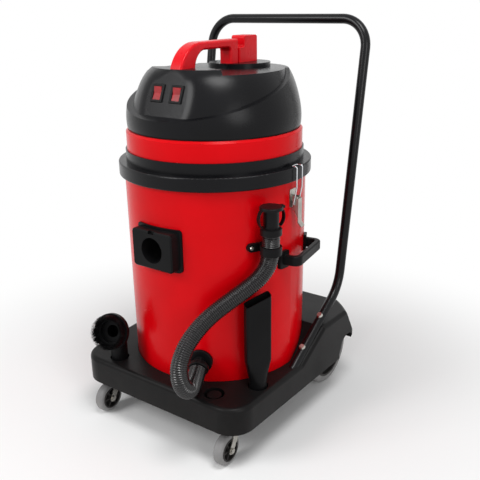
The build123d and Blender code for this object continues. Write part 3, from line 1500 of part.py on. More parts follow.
with BuildPart() as filter_cage:
    with BuildSketch(level(SEAL_TOP_Z - CAGE_RING)):
        Circle(FILTER_R)
        Circle(FILTER_R - 2 * FILTER_BAR, mode=Mode.SUBTRACT)
    extrude(amount=CAGE_RING)
    with BuildSketch(level(FILTER_LOW_Z)):
        Circle(FILTER_LOW_R)
        Circle(FILTER_LOW_R - 2 * FILTER_BAR, mode=Mode.SUBTRACT)
    extrude(amount=CAGE_RING)
    for bar in range(FILTER_BARS):
        turn = 360 * bar / FILTER_BARS
        foot = radial(turn, FILTER_LOW_R - FILTER_BAR, FILTER_LOW_Z).origin
        head = radial(turn, FILTER_R - FILTER_BAR, SEAL_TOP_Z - CAGE_RING / 2).origin
        with BuildSketch(Plane(origin=foot, z_dir=head - foot)):
            Circle(FILTER_BAR / 2)
        extrude(amount=(head - foot).length)
    with BuildSketch(level(0)):
        Circle(FILTER_R)
    extrude(amount=FILTER_LOW_Z, mode=Mode.SUBTRACT)
save(filter_cage, "filter_cage")

with BuildPart() as filter_cup:
    with BuildSketch(facing(0)):
        Polygon(
            (0, FILTER_LOW_Z - SEAT),
            (FILTER_LOW_R + SEAT, FILTER_LOW_Z - SEAT),
            (FILTER_R + SEAT, SEAL_TOP_Z),
            (FILTER_R + SEAT + FILTER_WALL, SEAL_TOP_Z),
            (FILTER_LOW_R + SEAT + FILTER_WALL, FILTER_LOW_Z - SEAT - FILTER_WALL),
            (0, FILTER_LOW_Z - SEAT - FILTER_WALL),
            align=None,
        )
    revolve(axis=TANK_AXIS)
save(filter_cup, "filter_cup")


# Latches on each side: a bracket with a pin, a lever on it and the wire bail that the lever pulls
LEVER_OUT_X = LATCH_PIN_X + LEVER_DEPTH
BAIL_FOOT = (LATCH_PIN_X - BAIL_IN, LATCH_PIN_Z - BAIL_DROP)
BAIL_TOP_Z = RIM_TOP_Z + BAIL_GAP + BAIL_R

with BuildPart() as latch_bracket:
    with BuildSketch(side(0)):
        with Locations((0, LATCH_PIN_Z)):
            RectangleRounded(LATCH_PLATE_W, LATCH_PLATE_H, LATCH_EAR_T)
    extrude(amount=TANK_HIGH_R + LATCH_PLATE_T)
    with BuildSketch(level(LATCH_PIN_Z - LATCH_PLATE_H)):
        Circle(TANK_HIGH_R + LATCH_PLATE_T)
    extrude(amount=2 * LATCH_PLATE_H, mode=Mode.INTERSECT)
    for end in (-1, 1):
        with BuildSketch(facing(end * LATCH_EAR_HALF)):
            with Locations((LATCH_PIN_X, LATCH_PIN_Z)):
                Circle(LATCH_EAR_R)
            with Locations((LATCH_PIN_X / 2, LATCH_PIN_Z)):
                Rectangle(LATCH_PIN_X, 2 * LATCH_EAR_R)
        extrude(amount=LATCH_EAR_T / 2, both=True)
    add(tank_space.part, mode=Mode.SUBTRACT)
    with BuildSketch(facing(0)):
        with Locations((LATCH_PIN_X, LATCH_PIN_Z)):
            Circle(LATCH_PIN_R)
    extrude(amount=LEVER_HALF + LEVER_SHEET, both=True)
save_both(latch_bracket, "latch_brackets")

with BuildPart() as latch_lever:
    with BuildSketch(facing(0)):
        with Locations((LATCH_PIN_X, LATCH_PIN_Z)):
            Circle(LEVER_ROUND)
        Polygon(
            (LATCH_PIN_X, LATCH_PIN_Z + LEVER_ROUND),
            (LATCH_PIN_X - LEVER_ROUND, LATCH_PIN_Z),
            (LATCH_PIN_X - LEVER_ROUND, LATCH_PIN_Z - LEVER_CHEEK),
            (LEVER_OUT_X - LEVER_SHEET, LATCH_PIN_Z - LEVER_TAPER),
            (LEVER_OUT_X, LATCH_PIN_Z - LEVER_TAPER),
            (LEVER_OUT_X, LATCH_PIN_Z),
            align=None,
        )
    extrude(amount=LEVER_HALF, both=True)
    with BuildSketch(facing(0)):
        with Locations((LATCH_PIN_X / 2, LATCH_PIN_Z)):
            Rectangle(LATCH_PIN_X + 2 * (LEVER_DEPTH - LEVER_SHEET), LATCH_PIN_Z)
    extrude(amount=LEVER_HALF - LEVER_SHEET, both=True, mode=Mode.SUBTRACT)
    with BuildSketch(facing(0)):
        Polygon(
            (LEVER_OUT_X - LEVER_SHEET, LATCH_PIN_Z - LEVER_TAPER),
            (LEVER_OUT_X, LATCH_PIN_Z - LEVER_TAPER),
            (LEVER_OUT_X, LEVER_TAIL_Z + LEVER_CURL_H),
            (LEVER_OUT_X + LEVER_CURL, LEVER_TAIL_Z),
            (LEVER_OUT_X + LEVER_CURL - LEVER_SHEET, LEVER_TAIL_Z - LEVER_SHEET),
            (LEVER_OUT_X - LEVER_SHEET, LEVER_TAIL_Z + LEVER_CURL_H - LEVER_SHEET),
            align=None,
        )
    extrude(amount=LEVER_HALF, both=True)
    with BuildSketch(facing(0)):
        with Locations((LATCH_PIN_X, LATCH_PIN_Z)):
            Circle(LATCH_PIN_R + RUN)
        with Locations(BAIL_FOOT):
            Circle(BAIL_R + RUN)
    extrude(amount=LEVER_HALF, both=True, mode=Mode.SUBTRACT)
save_pair(latch_lever, "latch_lever")

with BuildPart() as latch_bail:
    half = [
        (BAIL_FOOT[0], AXIS_Y + LEVER_HALF - LEVER_SHEET, BAIL_FOOT[1]),
        (BAIL_FOOT[0], AXIS_Y + BAIL_HALF, BAIL_FOOT[1]),
        (BAIL_OUT_X, AXIS_Y + BAIL_HALF, BAIL_KNEE_Z),
        (BAIL_OUT_X, AXIS_Y + BAIL_HALF, BAIL_TOP_Z),
        (BAIL_HOOK_X, AXIS_Y + BAIL_HALF, BAIL_TOP_Z),
    ]
    with BuildLine() as bail_line:
        FilletPolyline(
            *half, *[(x, 2 * AXIS_Y - y, z) for x, y, z in reversed(half)], radius=BAIL_BEND
        )
    with BuildSketch(facing(LEVER_HALF - LEVER_SHEET)):
        with Locations(BAIL_FOOT):
            Circle(BAIL_R)
    sweep(path=bail_line.wire())
save_pair(latch_bail, "latch_bail")


# Crevice tool: a round spigot on its post, drawn out to a flat tube with a slanted mouth
TOOL_ANGLE = math.degrees(math.atan2(SIDE_SOCKET[1], SIDE_SOCKET[0]))


def tool_level(z):
    """Level plane over the side socket, with x along the radius and y round the tank."""
    a = math.radians(TOOL_ANGLE)
    spot = (SIDE_SOCKET[0], AXIS_Y + SIDE_SOCKET[1], z)
    return Plane(origin=spot, x_dir=(math.cos(a), math.sin(a), 0), z_dir=(0, 0, 1))


with BuildPart() as tool_bore:
    with BuildSketch(tool_level(SOCKET_FLOOR_Z)):
        Circle(SPIGOT_BORE_R)
    extrude(amount=TOOL_NECK_Z - SOCKET_FLOOR_Z)
    with BuildSketch(tool_level(TOOL_NECK_Z)):
        Circle(SPIGOT_BORE_R)
    with BuildSketch(tool_level(TOOL_FLAT_Z)):
        RectangleRounded(TOOL_T - 2 * TOOL_WALL, TOOL_W - 2 * TOOL_WALL, TOOL_ROUND - TOOL_WALL)
    loft()
    with BuildSketch(tool_level(TOOL_FLAT_Z)):
        RectangleRounded(TOOL_T - 2 * TOOL_WALL, TOOL_W - 2 * TOOL_WALL, TOOL_ROUND - TOOL_WALL)
    extrude(amount=TOOL_HIGH_Z - TOOL_FLAT_Z)

with BuildPart() as crevice_tool:
    with BuildSketch(tool_level(SOCKET_FLOOR_Z + SEAT)):
        Circle(SPIGOT_R)
    extrude(amount=TOOL_NECK_Z - SOCKET_FLOOR_Z - SEAT)
    with BuildSketch(tool_level(TOOL_NECK_Z)):
        Circle(SPIGOT_R)
    with BuildSketch(tool_level(TOOL_FLAT_Z)):
        RectangleRounded(TOOL_T, TOOL_W, TOOL_ROUND)
    loft()
    with BuildSketch(tool_level(TOOL_FLAT_Z)):
        RectangleRounded(TOOL_T, TOOL_W, TOOL_ROUND)
    extrude(amount=TOOL_HIGH_Z - TOOL_FLAT_Z)
    add(tool_bore.part, mode=Mode.SUBTRACT)
    mouth = tool_level((TOOL_LOW_Z + TOOL_HIGH_Z) / 2)
    slant = math.degrees(math.atan2(TOOL_HIGH_Z - TOOL_LOW_Z, TOOL_W))
    split(bisect_by=mouth.rotated((slant, 0, 0)), keep=Keep.BOTTOM)
save(crevice_tool, "crevice_tool")


# Round brush: a spigot, a knuckle and a cup that looks to the front, with a ring of bristles
BRUSH_X = -FRONT_SOCKET[0]
BRUSH_Y = FRONT_SOCKET[1]
TILT = math.radians(BRUSH_TILT)
YAW = math.radians(BRUSH_YAW)
BRUSH_DIR = (
    -math.sin(YAW) * math.cos(TILT),
    -math.cos(YAW) * math.cos(TILT),
    math.sin(TILT),
)
CUP_T = BRUSH_NECK_L + BRUSH_CONE_L
RIM_T = CUP_T + BRUSH_RIM_L
BACK_IN = BRISTLE_RINGS[0] - BRISTLE_W
BACK_OUT = BRISTLE_RINGS[-1] + BRISTLE_W


def brush_plane(t):
    """Plane across the brush, t along it from the knuckle's centre."""
    knuckle = Vector(BRUSH_X, AXIS_Y + BRUSH_Y, BRUSH_KNUCKLE_Z)
    return Plane(origin=knuckle + Vector(*BRUSH_DIR) * t, x_dir=(1, 0, 0), z_dir=BRUSH_DIR)


with BuildPart() as round_brush:
    with BuildSketch(level(SOCKET_FLOOR_Z + SEAT)):
        with Locations((BRUSH_X, BRUSH_Y)):
            Circle(SPIGOT_R)
    extrude(amount=BRUSH_KNUCKLE_Z - SOCKET_FLOOR_Z - SEAT)
    with Locations(brush_plane(0).origin):
        Sphere(BRUSH_KNUCKLE_R)
    with BuildSketch(brush_plane(0)):
        Circle(BRUSH_NECK_R)
    extrude(amount=BRUSH_NECK_L)
    with BuildSketch(brush_plane(BRUSH_NECK_L)):
        Circle(BRUSH_NECK_R)
    with BuildSketch(brush_plane(CUP_T)):
        Circle(BRUSH_HEAD_R)
    loft()
    with BuildSketch(brush_plane(CUP_T)):
        Circle(BRUSH_HEAD_R)
    extrude(amount=BRUSH_RIM_L)
    with BuildSketch(level(SOCKET_FLOOR_Z)):
        with Locations((BRUSH_X, BRUSH_Y)):
            Circle(SPIGOT_BORE_R)
    extrude(amount=BRUSH_KNUCKLE_Z - SOCKET_FLOOR_Z, mode=Mode.SUBTRACT)
    with Locations(brush_plane(0).origin):
        Sphere(BRUSH_KNUCKLE_R - BRUSH_WALL, mode=Mode.SUBTRACT)
    with BuildSketch(brush_plane(0)):
        Circle(BRUSH_NECK_R - BRUSH_WALL)
    extrude(amount=RIM_T, mode=Mode.SUBTRACT)
    with BuildSketch(brush_plane(CUP_T)):
        Circle(BRUSH_MOUTH_R)
    extrude(amount=BRUSH_RIM_L, mode=Mode.SUBTRACT)
    with BuildSketch(brush_plane(RIM_T - BRISTLE_BACK)):
        Circle(BACK_OUT + SEAT)
        Circle(BACK_IN - SEAT, mode=Mode.SUBTRACT)
    extrude(amount=BRISTLE_BACK, mode=Mode.SUBTRACT)
save(round_brush, "round_brush")

with BuildPart() as brush_bristles:
    with BuildSketch(brush_plane(RIM_T - BRISTLE_BACK)):
        Circle(BACK_OUT)
        Circle(BACK_IN, mode=Mode.SUBTRACT)
    extrude(amount=BRISTLE_BACK)
    with BuildSketch(brush_plane(RIM_T)):
        for ring in BRISTLE_RINGS:
            with PolarLocations(ring, BRISTLE_COUNT):
                Rectangle(BRISTLE_W, BRISTLE_W)
    extrude(amount=BRISTLE_L)
save(brush_bristles, "brush_bristles")
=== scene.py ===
# %% [markdown]
# # A shop vacuum, dressed for its portrait
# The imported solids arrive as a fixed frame: every piece is in metres, +Z is up, the front is -Y
# and the floor is z = 0. This lesson gives each moulding, tube and tyre its finish, and makes the
# two pieces that plain solids can't show well: the ribbed drain hose and the brush's bristles.

import math

import bpy
import numpy as np
from mathutils import Matrix, Vector


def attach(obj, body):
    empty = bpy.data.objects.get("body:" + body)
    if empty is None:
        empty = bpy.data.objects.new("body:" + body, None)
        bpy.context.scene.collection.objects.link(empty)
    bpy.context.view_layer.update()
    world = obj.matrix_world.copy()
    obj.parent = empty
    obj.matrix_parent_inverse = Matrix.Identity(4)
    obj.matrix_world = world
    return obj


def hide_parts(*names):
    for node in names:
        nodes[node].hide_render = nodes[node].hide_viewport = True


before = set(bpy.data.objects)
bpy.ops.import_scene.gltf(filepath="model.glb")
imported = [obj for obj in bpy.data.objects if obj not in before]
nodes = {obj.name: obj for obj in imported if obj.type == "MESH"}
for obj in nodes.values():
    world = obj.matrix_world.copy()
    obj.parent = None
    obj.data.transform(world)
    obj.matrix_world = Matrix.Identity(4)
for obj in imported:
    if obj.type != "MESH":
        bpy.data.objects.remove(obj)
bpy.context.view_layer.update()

# %% [markdown]
# ## Camera
# The picture was taken from the front right, a little above the head. The camera's place was
# worked out from edges whose real sizes are known: the rim, the deck and the wheels. A camera in
# Blender looks along its own -Z, so its axes are built from the viewing direction, its level right
# hand side and a small roll.

# %% Camera at the photograph's angle
TANK_Y = -0.016
CAMERA_SPOT = Vector((1.011, -1.304 + TANK_Y, 1.049))
CAMERA_TURN = math.radians(35.72)
CAMERA_PITCH = math.radians(19.7)
CAMERA_ROLL = math.radians(-0.8)
CAMERA_LENS = 49.65


def add_camera():
    """Axes: forward tips down by the pitch, right is level, and both turn by the roll."""
    level_ahead = Vector((-math.sin(CAMERA_TURN), math.cos(CAMERA_TURN), 0))
    ahead = level_ahead * math.cos(CAMERA_PITCH) - Vector((0, 0, 1)) * math.sin(CAMERA_PITCH)
    level_right = ahead.cross(Vector((0, 0, 1))).normalized()
    level_up = level_right.cross(ahead)
    right = level_right * math.cos(CAMERA_ROLL) + level_up * math.sin(CAMERA_ROLL)
    up = level_up * math.cos(CAMERA_ROLL) - level_right * math.sin(CAMERA_ROLL)
    lens = bpy.data.cameras.new("photo_camera")
    lens.lens = CAMERA_LENS
    lens.sensor_width = 36.0
    eye = bpy.data.objects.new("photo_camera", lens)
    axes = Matrix((right, up, -ahead)).transposed().to_4x4()
    eye.matrix_world = Matrix.Translation(CAMERA_SPOT) @ axes
    bpy.context.collection.objects.link(eye)
    bpy.context.scene.camera = eye
    return eye


camera = add_camera()
print("camera", camera.location[:])

# %% [markdown]
# ## Surfaces from numpy
# A swept or turned shape is a grid of points: one index runs round the section and the other runs
# along it. One helper turns such a grid into a mesh with its faces worked out as whole arrays.


# %% Helper that turns a grid of points into a piece
def grid_faces(rows, columns, wrap):
    """Quads of a rows x columns grid; wrap joins the last column to the first."""
    i, j = np.meshgrid(np.arange(rows - 1), np.arange(columns - (not wrap)), indexing="ij")
    k = (j + 1) % columns
    low, high = i * columns, (i + 1) * columns
    quads = np.stack([low + j, low + k, high + k, high + j], -1)
    return quads.reshape(-1, 4)


def piece_from(name, points, faces, smooth=True):
    """One mesh object at the origin from an array of points and an array of quads."""
    mesh = bpy.data.meshes.new(name)
    mesh.from_pydata(points.reshape(-1, 3).tolist(), [], faces.tolist())
    mesh.polygons.foreach_set("use_smooth", np.full(len(mesh.polygons), smooth))
    mesh.validate()
    mesh.update()
    piece = bpy.data.objects.new(name, mesh)
    bpy.context.collection.objects.link(piece)
    return piece


# %% [markdown]
# ## Drain hose
# The hose is a blow-moulded tube of rings. It leaves the drain low on the tank, turns up sharply
# in front of it and climbs to a clip under its stopper. A NURBS curve through the same route as
# the solid gives a smooth centre line. The wall is then a radius that swells and sinks along that
# line, carried on frames that never twist.

# %% Centre line of the drain hose
HOSE_CREST = 0.021
HOSE_ROOT = 0.0190
HOSE_BORE = 0.0172
HOSE_RIBS = 112
HOSE_STEPS = 60
ROWS_PER_RIB = 8
HOSE_AROUND = 40
HOSE_ROUTE = np.array([
    (0.1076, -0.2287, 0.2164),
    (0.1328, -0.2822, 0.1948),
    (0.1400, -0.3240, 0.2220),
    (0.1330, -0.3300, 0.2720),
    (0.1350, -0.3070, 0.3180),
    (0.1430, -0.2680, 0.3520),
    (0.1580, -0.2300, 0.3790),
    (0.1840, -0.1940, 0.4060),
    (0.2120, -0.1560, 0.4340),
    (0.2300, -0.1300, 0.4580),
    (0.2410, -0.1120, 0.4920),
    (0.2410, -0.1120, 0.5540),
]) + (0, TANK_Y, 0)


def smooth_line(route, steps):
    """Points of an order 3 NURBS curve that has the route as its control points."""
    curve = bpy.data.curves.new("hose_line", "CURVE")
    curve.dimensions = "3D"
    spline = curve.splines.new("NURBS")
    spline.points.add(len(route) - 1)
    spline.points.foreach_set("co", np.c_[route, np.ones(len(route))].ravel())
    spline.order_u = 3
    spline.use_endpoint_u = True
    curve.resolution_u = steps
    carrier = bpy.data.objects.new("hose_line", curve)
    bpy.context.collection.objects.link(carrier)
    bpy.context.view_layer.update()
    graph = bpy.context.evaluated_depsgraph_get()
    line = bpy.data.meshes.new_from_object(carrier.evaluated_get(graph))
    points = np.empty(len(line.vertices) * 3)
    line.vertices.foreach_get("co", points)
    bpy.data.objects.remove(carrier)
    return points.reshape(-1, 3)


hose_line = smooth_line(HOSE_ROUTE, HOSE_STEPS)
hose_run = np.r_[0, np.cumsum(np.linalg.norm(np.diff(hose_line, axis=0), axis=1))]
print("hose length", round(hose_run[-1], 4))


# %% Ribbed wall of the drain hose
def even_line(line, run, count):
    """The line sampled at evenly spaced lengths, with its unit tangents."""
    s = np.linspace(0, run[-1], count)
    spots = np.stack([np.interp(s, run, line[:, k]) for k in range(3)], 1)
    ahead = np.gradient(spots, axis=0)
    return s, spots, ahead / np.linalg.norm(ahead, axis=1, keepdims=True)


def steady_axes(ahead):
    """Across axes: the world's X less its part along the tangent, and the cross product."""
    one = np.array([1.0, 0, 0]) - ahead * ahead[:, :1]
    one /= np.linalg.norm(one, axis=1, keepdims=True)
    return one, np.cross(ahead, one)


def ribbed_tube(rings_per_rib, around):
    """Radius = root + (crest - root) x a wave of the length, 0 to 1 and back in each rib.

    The crest mark is that wave cubed, so that it is 1 only on the ridge of a rib; it carries a
    painted highlight.
    """
    s, spots, ahead = even_line(hose_line, hose_run, HOSE_RIBS * rings_per_rib + 1)
    one, two = steady_axes(ahead)
    wave = 0.5 - 0.5 * np.cos(2 * np.pi * HOSE_RIBS * s / s[-1])
    radius = HOSE_ROOT + (HOSE_CREST - HOSE_ROOT) * wave
    turn = np.linspace(0, 2 * np.pi, around, endpoint=False)
    spin = one[:, None] * np.cos(turn)[:, None] + two[:, None] * np.sin(turn)[:, None]
    skin = spots[:, None] + spin * radius[:, None, None]
    bore = spots[::-1, None] + spin[::-1] * HOSE_BORE
    crest = np.repeat(np.r_[wave**3, np.zeros(len(wave))], around)
    return np.concatenate([skin, bore, skin[:1]]), spots, crest


hose_points, hose_path, hose_crest_highlight = ribbed_tube(ROWS_PER_RIB, HOSE_AROUND)
hose_faces = grid_faces(len(hose_points), hose_points.shape[1], True)
last_row = (len(hose_points) - 1) * hose_points.shape[1]
hose_faces = np.where(hose_faces >= last_row, hose_faces - last_row, hose_faces)
drain_hose = piece_from("ribbed_drain_hose", hose_points[:-1], hose_faces)
# The rib attribute marks each crest for its painted highlight.
crest_highlight_mark = drain_hose.data.attributes.new("rib", "FLOAT", "POINT")
crest_highlight_mark.data.foreach_set("value", hose_crest_highlight)
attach(drain_hose, "vacuum")
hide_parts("drain_hose")
print("hose faces", len(hose_faces))

# %% [markdown]
# ## Bristles
# The brush is a ring of stiff nylon tufts set in a cup. Each strand is a square tapering rod that
# leans out a little more the further out it stands. All strands are one array: roots on rings,
# tips moved by a seeded random lean, and the four sides added by broadcasting.

# %% Bristles of the round brush
BRUSH_TILT = math.radians(18.0)
BRUSH_YAW = math.radians(-17.5)
BRUSH_KNUCKLE = np.array([-0.158, -0.232 + TANK_Y, 0.249])
BRUSH_RIM = 0.038
BRISTLE_LONG = 0.024
BRISTLE_BACK = 0.003
STRAND_ROWS = 5
STRAND_HALF = 0.0006
STRAND_TAPER = 0.3
STRAND_LEAN = 0.0008
STRAND_STRAY = 0.0004
STRAND_TRIM = 0.05
STRAND_SEED = 7
STRANDS_PER_RING = 96
STRAND_RINGS = np.linspace(0.0336, 0.0434, 6)
BACK_INNER = 0.0328
BACK_OUTER = 0.0442
BACK_AROUND = 96


def brush_axes():
    """Forward along the cup, then level across it, then up."""
    ahead = np.array([
        -math.sin(BRUSH_YAW) * math.cos(BRUSH_TILT),
        -math.cos(BRUSH_YAW) * math.cos(BRUSH_TILT),
        math.sin(BRUSH_TILT),
    ])
    across = np.cross(ahead, [0, 0, 1.0])
    across /= np.linalg.norm(across)
    return ahead, across, np.cross(across, ahead)


def bristle_points(rings, per_ring, seed):
    """Strand point = root + length x axis + lean x length squared, with a square section."""
    dice = np.random.default_rng(seed)
    ahead, across, up = brush_axes()
    angle = np.repeat(np.linspace(0, 2 * np.pi, per_ring, endpoint=False)[None], len(rings), 0)
    angle = (angle + np.arange(len(rings))[:, None] * np.pi / per_ring).ravel()
    radius = np.repeat(rings, per_ring)
    out = across * np.cos(angle)[:, None] + up * np.sin(angle)[:, None]
    side = np.cross(ahead, out)
    lean = out * (STRAND_LEAN + dice.normal(0, STRAND_STRAY, len(angle)))[:, None]
    lean = lean + side * dice.normal(0, STRAND_STRAY, len(angle))[:, None]
    reach = BRISTLE_LONG * (1 - STRAND_TRIM * dice.random(len(angle)))
    share = np.linspace(0, 1, STRAND_ROWS)
    root = BRUSH_KNUCKLE + ahead * (BRUSH_RIM - BRISTLE_BACK) + out * radius[:, None]
    span = (reach + BRISTLE_BACK)[:, None] * share
    spine = root[:, None] + ahead * span[..., None] + lean[:, None] * (share**2)[:, None]
    half = STRAND_HALF * (1 - STRAND_TAPER * share)
    corner = np.stack([out, side, -out, -side], 1)
    return spine[:, :, None] + corner[:, None] * half[:, None, None]


def bristle_faces(strands):
    """Four sides between the rows of each strand, and a cap at each end."""
    one = grid_faces(STRAND_ROWS, 4, True)
    caps = np.array([[3, 2, 1, 0], [4 * STRAND_ROWS - 4 + k for k in range(4)]])
    one = np.concatenate([one, caps])
    return (one[None] + (np.arange(strands) * 4 * STRAND_ROWS)[:, None, None]).reshape(-1, 4)


def bristle_back(inner, outer, around):
    """Ring section: a closed rectangle in (radius, length), turned about the brush's axis."""
    ahead, across, up = brush_axes()
    base = -BRISTLE_BACK
    section = np.array([(inner, base), (outer, base), (outer, 0), (inner, 0), (inner, base)])
    turn = np.linspace(0, 2 * np.pi, around, endpoint=False)
    out = across * np.cos(turn)[:, None] + up * np.sin(turn)[:, None]
    centre = BRUSH_KNUCKLE + ahead * BRUSH_RIM
    return centre + out[None] * section[:, 0, None, None] + ahead * section[:, 1, None, None]


strands = bristle_points(STRAND_RINGS, STRANDS_PER_RING, STRAND_SEED)
back = bristle_back(BACK_INNER, BACK_OUTER, BACK_AROUND)
back_faces = grid_faces(len(back), BACK_AROUND, True) % ((len(back) - 1) * BACK_AROUND)
brush_bristles = piece_from(
    "nylon_bristles",
    np.concatenate([strands.reshape(-1, 3), back[:-1].reshape(-1, 3)]),
    np.concatenate([bristle_faces(len(strands)), back_faces + strands.size // 3]),
    smooth=False,
)
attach(brush_bristles, "brush")
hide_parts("brush_bristles")
print("strands", len(strands))

# %% [markdown]
# ## Shared surface effects
# Moulded plastic is never one flat tone. Two effects come back in many finishes, so each is a node
# group: a fine skin grain with a slow mottle, and dust that gathers low down near the floor.


# %% Node groups for skin grain and floor dust
def new_group(name, inputs, outputs):
    """An empty shader group with named float sockets, and its two end nodes."""
    group = bpy.data.node_groups.new(name, "ShaderNodeTree")
    for label, default in inputs:
        socket = group.interface.new_socket(label, in_out="INPUT", socket_type="NodeSocketFloat")
        socket.default_value = default
    for label in outputs:
        group.interface.new_socket(label, in_out="OUTPUT", socket_type="NodeSocketFloat")
    return group, group.nodes.new("NodeGroupInput"), group.nodes.new("NodeGroupOutput")


def skin_grain_group():
    """Grain: fine noise for bump. Mottle: slow noise for tone and gloss."""
    group, start, end = new_group(
        "skin_grain", [("Grain Scale", 900.0), ("Mottle Scale", 9.0)], ["Grain", "Mottle"]
    )
    link = group.links.new
    spot = group.nodes.new("ShaderNodeTexCoord")
    for scale, detail, result in (("Grain Scale", 2.0, "Grain"), ("Mottle Scale", 4.0, "Mottle")):
        noise = group.nodes.new("ShaderNodeTexNoise")
        noise.inputs["Detail"].default_value = detail
        link(spot.outputs["Object"], noise.inputs["Vector"])
        link(start.outputs[scale], noise.inputs["Scale"])
        link(noise.outputs["Fac"], end.inputs[result])
    return group


def floor_dust_group():
    """Mask: a fall-off with height, broken up by noise."""
    group, start, end = new_group("floor_dust", [("Top", 0.12), ("Strength", 0.5)], ["Mask"])
    link = group.links.new
    spot = group.nodes.new("ShaderNodeTexCoord")
    axes = group.nodes.new("ShaderNodeSeparateXYZ")
    fall = group.nodes.new("ShaderNodeMapRange")
    fall.inputs["From Min"].default_value = 0.0
    fall.inputs["To Min"].default_value = 1.0
    fall.inputs["To Max"].default_value = 0.0
    cloud = group.nodes.new("ShaderNodeTexNoise")
    cloud.inputs["Scale"].default_value = 38.0
    cloud.inputs["Detail"].default_value = 6.0
    patch = group.nodes.new("ShaderNodeMath")
    patch.operation = "MULTIPLY"
    amount = group.nodes.new("ShaderNodeMath")
    amount.operation = "MULTIPLY"
    link(spot.outputs["Object"], axes.inputs["Vector"])
    link(spot.outputs["Object"], cloud.inputs["Vector"])
    link(axes.outputs["Z"], fall.inputs["Value"])
    link(start.outputs["Top"], fall.inputs["From Max"])
    link(fall.outputs["Result"], patch.inputs[0])
    link(cloud.outputs["Fac"], patch.inputs[1])
    link(patch.outputs["Value"], amount.inputs[0])
    link(start.outputs["Strength"], amount.inputs[1])
    link(amount.outputs["Value"], end.inputs["Mask"])
    return group


SKIN_GRAIN = skin_grain_group()
FLOOR_DUST = floor_dust_group()
print("groups", SKIN_GRAIN.name, FLOOR_DUST.name)

# %% [markdown]
# ## Finishes
# One builder makes every finish: two close tones mixed by the mottle, a gloss that wanders between
# two limits, a bump from the grain, and, low on the machine, a veil of floor dust. What is the same
# all over a surface is set on the shader's own sockets.


# %% Builder for a moulded or metal finish
def linear(red, green, blue):
    """A screen colour, 0 to 255, as the linear numbers that shaders take."""
    share = np.array([red, green, blue]) / 255
    bright = np.where(share <= 0.04045, share / 12.92, ((share + 0.055) / 1.055) ** 2.4)
    return (*bright.tolist(), 1.0)


DUST_TONE = linear(150, 143, 132)
GRAIN_DEPTH = 0.0005


def add_skin(material, grain_scale, mottle_scale):
    skin = material.node_tree.nodes.new("ShaderNodeGroup")
    skin.node_tree = SKIN_GRAIN
    skin.inputs["Grain Scale"].default_value = grain_scale
    skin.inputs["Mottle Scale"].default_value = mottle_scale
    return skin


def add_range(material, source, low, high):
    """Maps a 0.3 to 0.7 noise value onto low to high."""
    span = material.node_tree.nodes.new("ShaderNodeMapRange")
    span.inputs["From Min"].default_value = 0.3
    span.inputs["From Max"].default_value = 0.7
    span.inputs["To Min"].default_value = low
    span.inputs["To Max"].default_value = high
    material.node_tree.links.new(source, span.inputs["Value"])
    return span.outputs["Result"]


def add_mix(material, factor, first, second):
    """A colour mix; first may be a colour or a socket."""
    mix = material.node_tree.nodes.new("ShaderNodeMix")
    mix.data_type = "RGBA"
    material.node_tree.links.new(factor, mix.inputs["Factor"])
    if isinstance(first, tuple):
        mix.inputs["A"].default_value = first
    else:
        material.node_tree.links.new(first, mix.inputs["A"])
    mix.inputs["B"].default_value = second
    return mix.outputs["Result"]


def finish(name, tone, second, gloss, grain, bump, mottle, dust=None, **sockets):
    """Two tones, two roughness limits, scales of grain and mottle, and dust as (top, strength)."""
    material = bpy.data.materials.new(name)
    material.use_nodes = True
    link = material.node_tree.links.new
    shader = material.node_tree.nodes["Principled BSDF"]
    skin = add_skin(material, grain, mottle)
    colour = add_mix(material, add_range(material, skin.outputs["Mottle"], 0.0, 1.0), tone, second)
    if dust:
        veil = material.node_tree.nodes.new("ShaderNodeGroup")
        veil.node_tree = FLOOR_DUST
        veil.inputs["Top"].default_value = dust[0]
        veil.inputs["Strength"].default_value = dust[1]
        colour = add_mix(material, veil.outputs["Mask"], colour, DUST_TONE)
    link(colour, shader.inputs["Base Color"])
    link(add_range(material, skin.outputs["Mottle"], *gloss), shader.inputs["Roughness"])
    relief = material.node_tree.nodes.new("ShaderNodeBump")
    relief.inputs["Strength"].default_value = bump
    relief.inputs["Distance"].default_value = GRAIN_DEPTH
    link(skin.outputs["Grain"], relief.inputs["Height"])
    link(relief.outputs["Normal"], shader.inputs["Normal"])
    for socket, value in sockets.items():
        shader.inputs[socket.replace("_", " ")].default_value = value
    return material


def paint_crest_highlight(material, label, tone):
    """Mixes a lighter tone in where the mesh's own attribute is 1: a painted highlight on each
    rib's crest, with the grooves left dark as painted shade.
    """
    tree = material.node_tree
    base = tree.nodes["Principled BSDF"].inputs["Base Color"]
    mark = tree.nodes.new("ShaderNodeAttribute")
    mark.attribute_name = label
    tree.links.new(add_mix(material, mark.outputs["Fac"], base.links[0].from_socket, tone), base)


# %% The red and black mouldings
red_gloss = finish(
    "red_gloss", linear(214, 2, 14), linear(198, 1, 9), gloss=(0.20, 0.28),
    grain=260.0, bump=0.05, mottle=6.0,
    Specular_IOR_Level=0.1,
)
red_handle = finish(
    "red_handle", linear(218, 6, 24), linear(202, 4, 18), gloss=(0.24, 0.34),
    grain=700.0, bump=0.08, mottle=14.0,
    Specular_IOR_Level=0.18,
)
red_rocker = finish(
    "red_rocker", linear(158, 24, 30), linear(128, 16, 22), gloss=(0.14, 0.22),
    grain=500.0, bump=0.03, mottle=60.0,
)
black_cover = finish(
    "black_cover", linear(14, 14, 17), linear(10, 10, 12), gloss=(0.22, 0.29),
    grain=1300.0, bump=0.14, mottle=7.0,
    Specular_IOR_Level=0.16,
)
black_moulding = finish(
    "black_moulding", linear(18, 18, 19), linear(13, 13, 14), gloss=(0.30, 0.42),
    grain=1200.0, bump=0.2, mottle=16.0,
    Specular_IOR_Level=0.09,
)
black_trolley = finish(
    "black_trolley", linear(18, 17, 18), linear(12, 12, 13), gloss=(0.30, 0.44),
    grain=1100.0, bump=0.25, mottle=8.0,
    dust=(0.26, 0.04), Specular_IOR_Level=0.1,
)
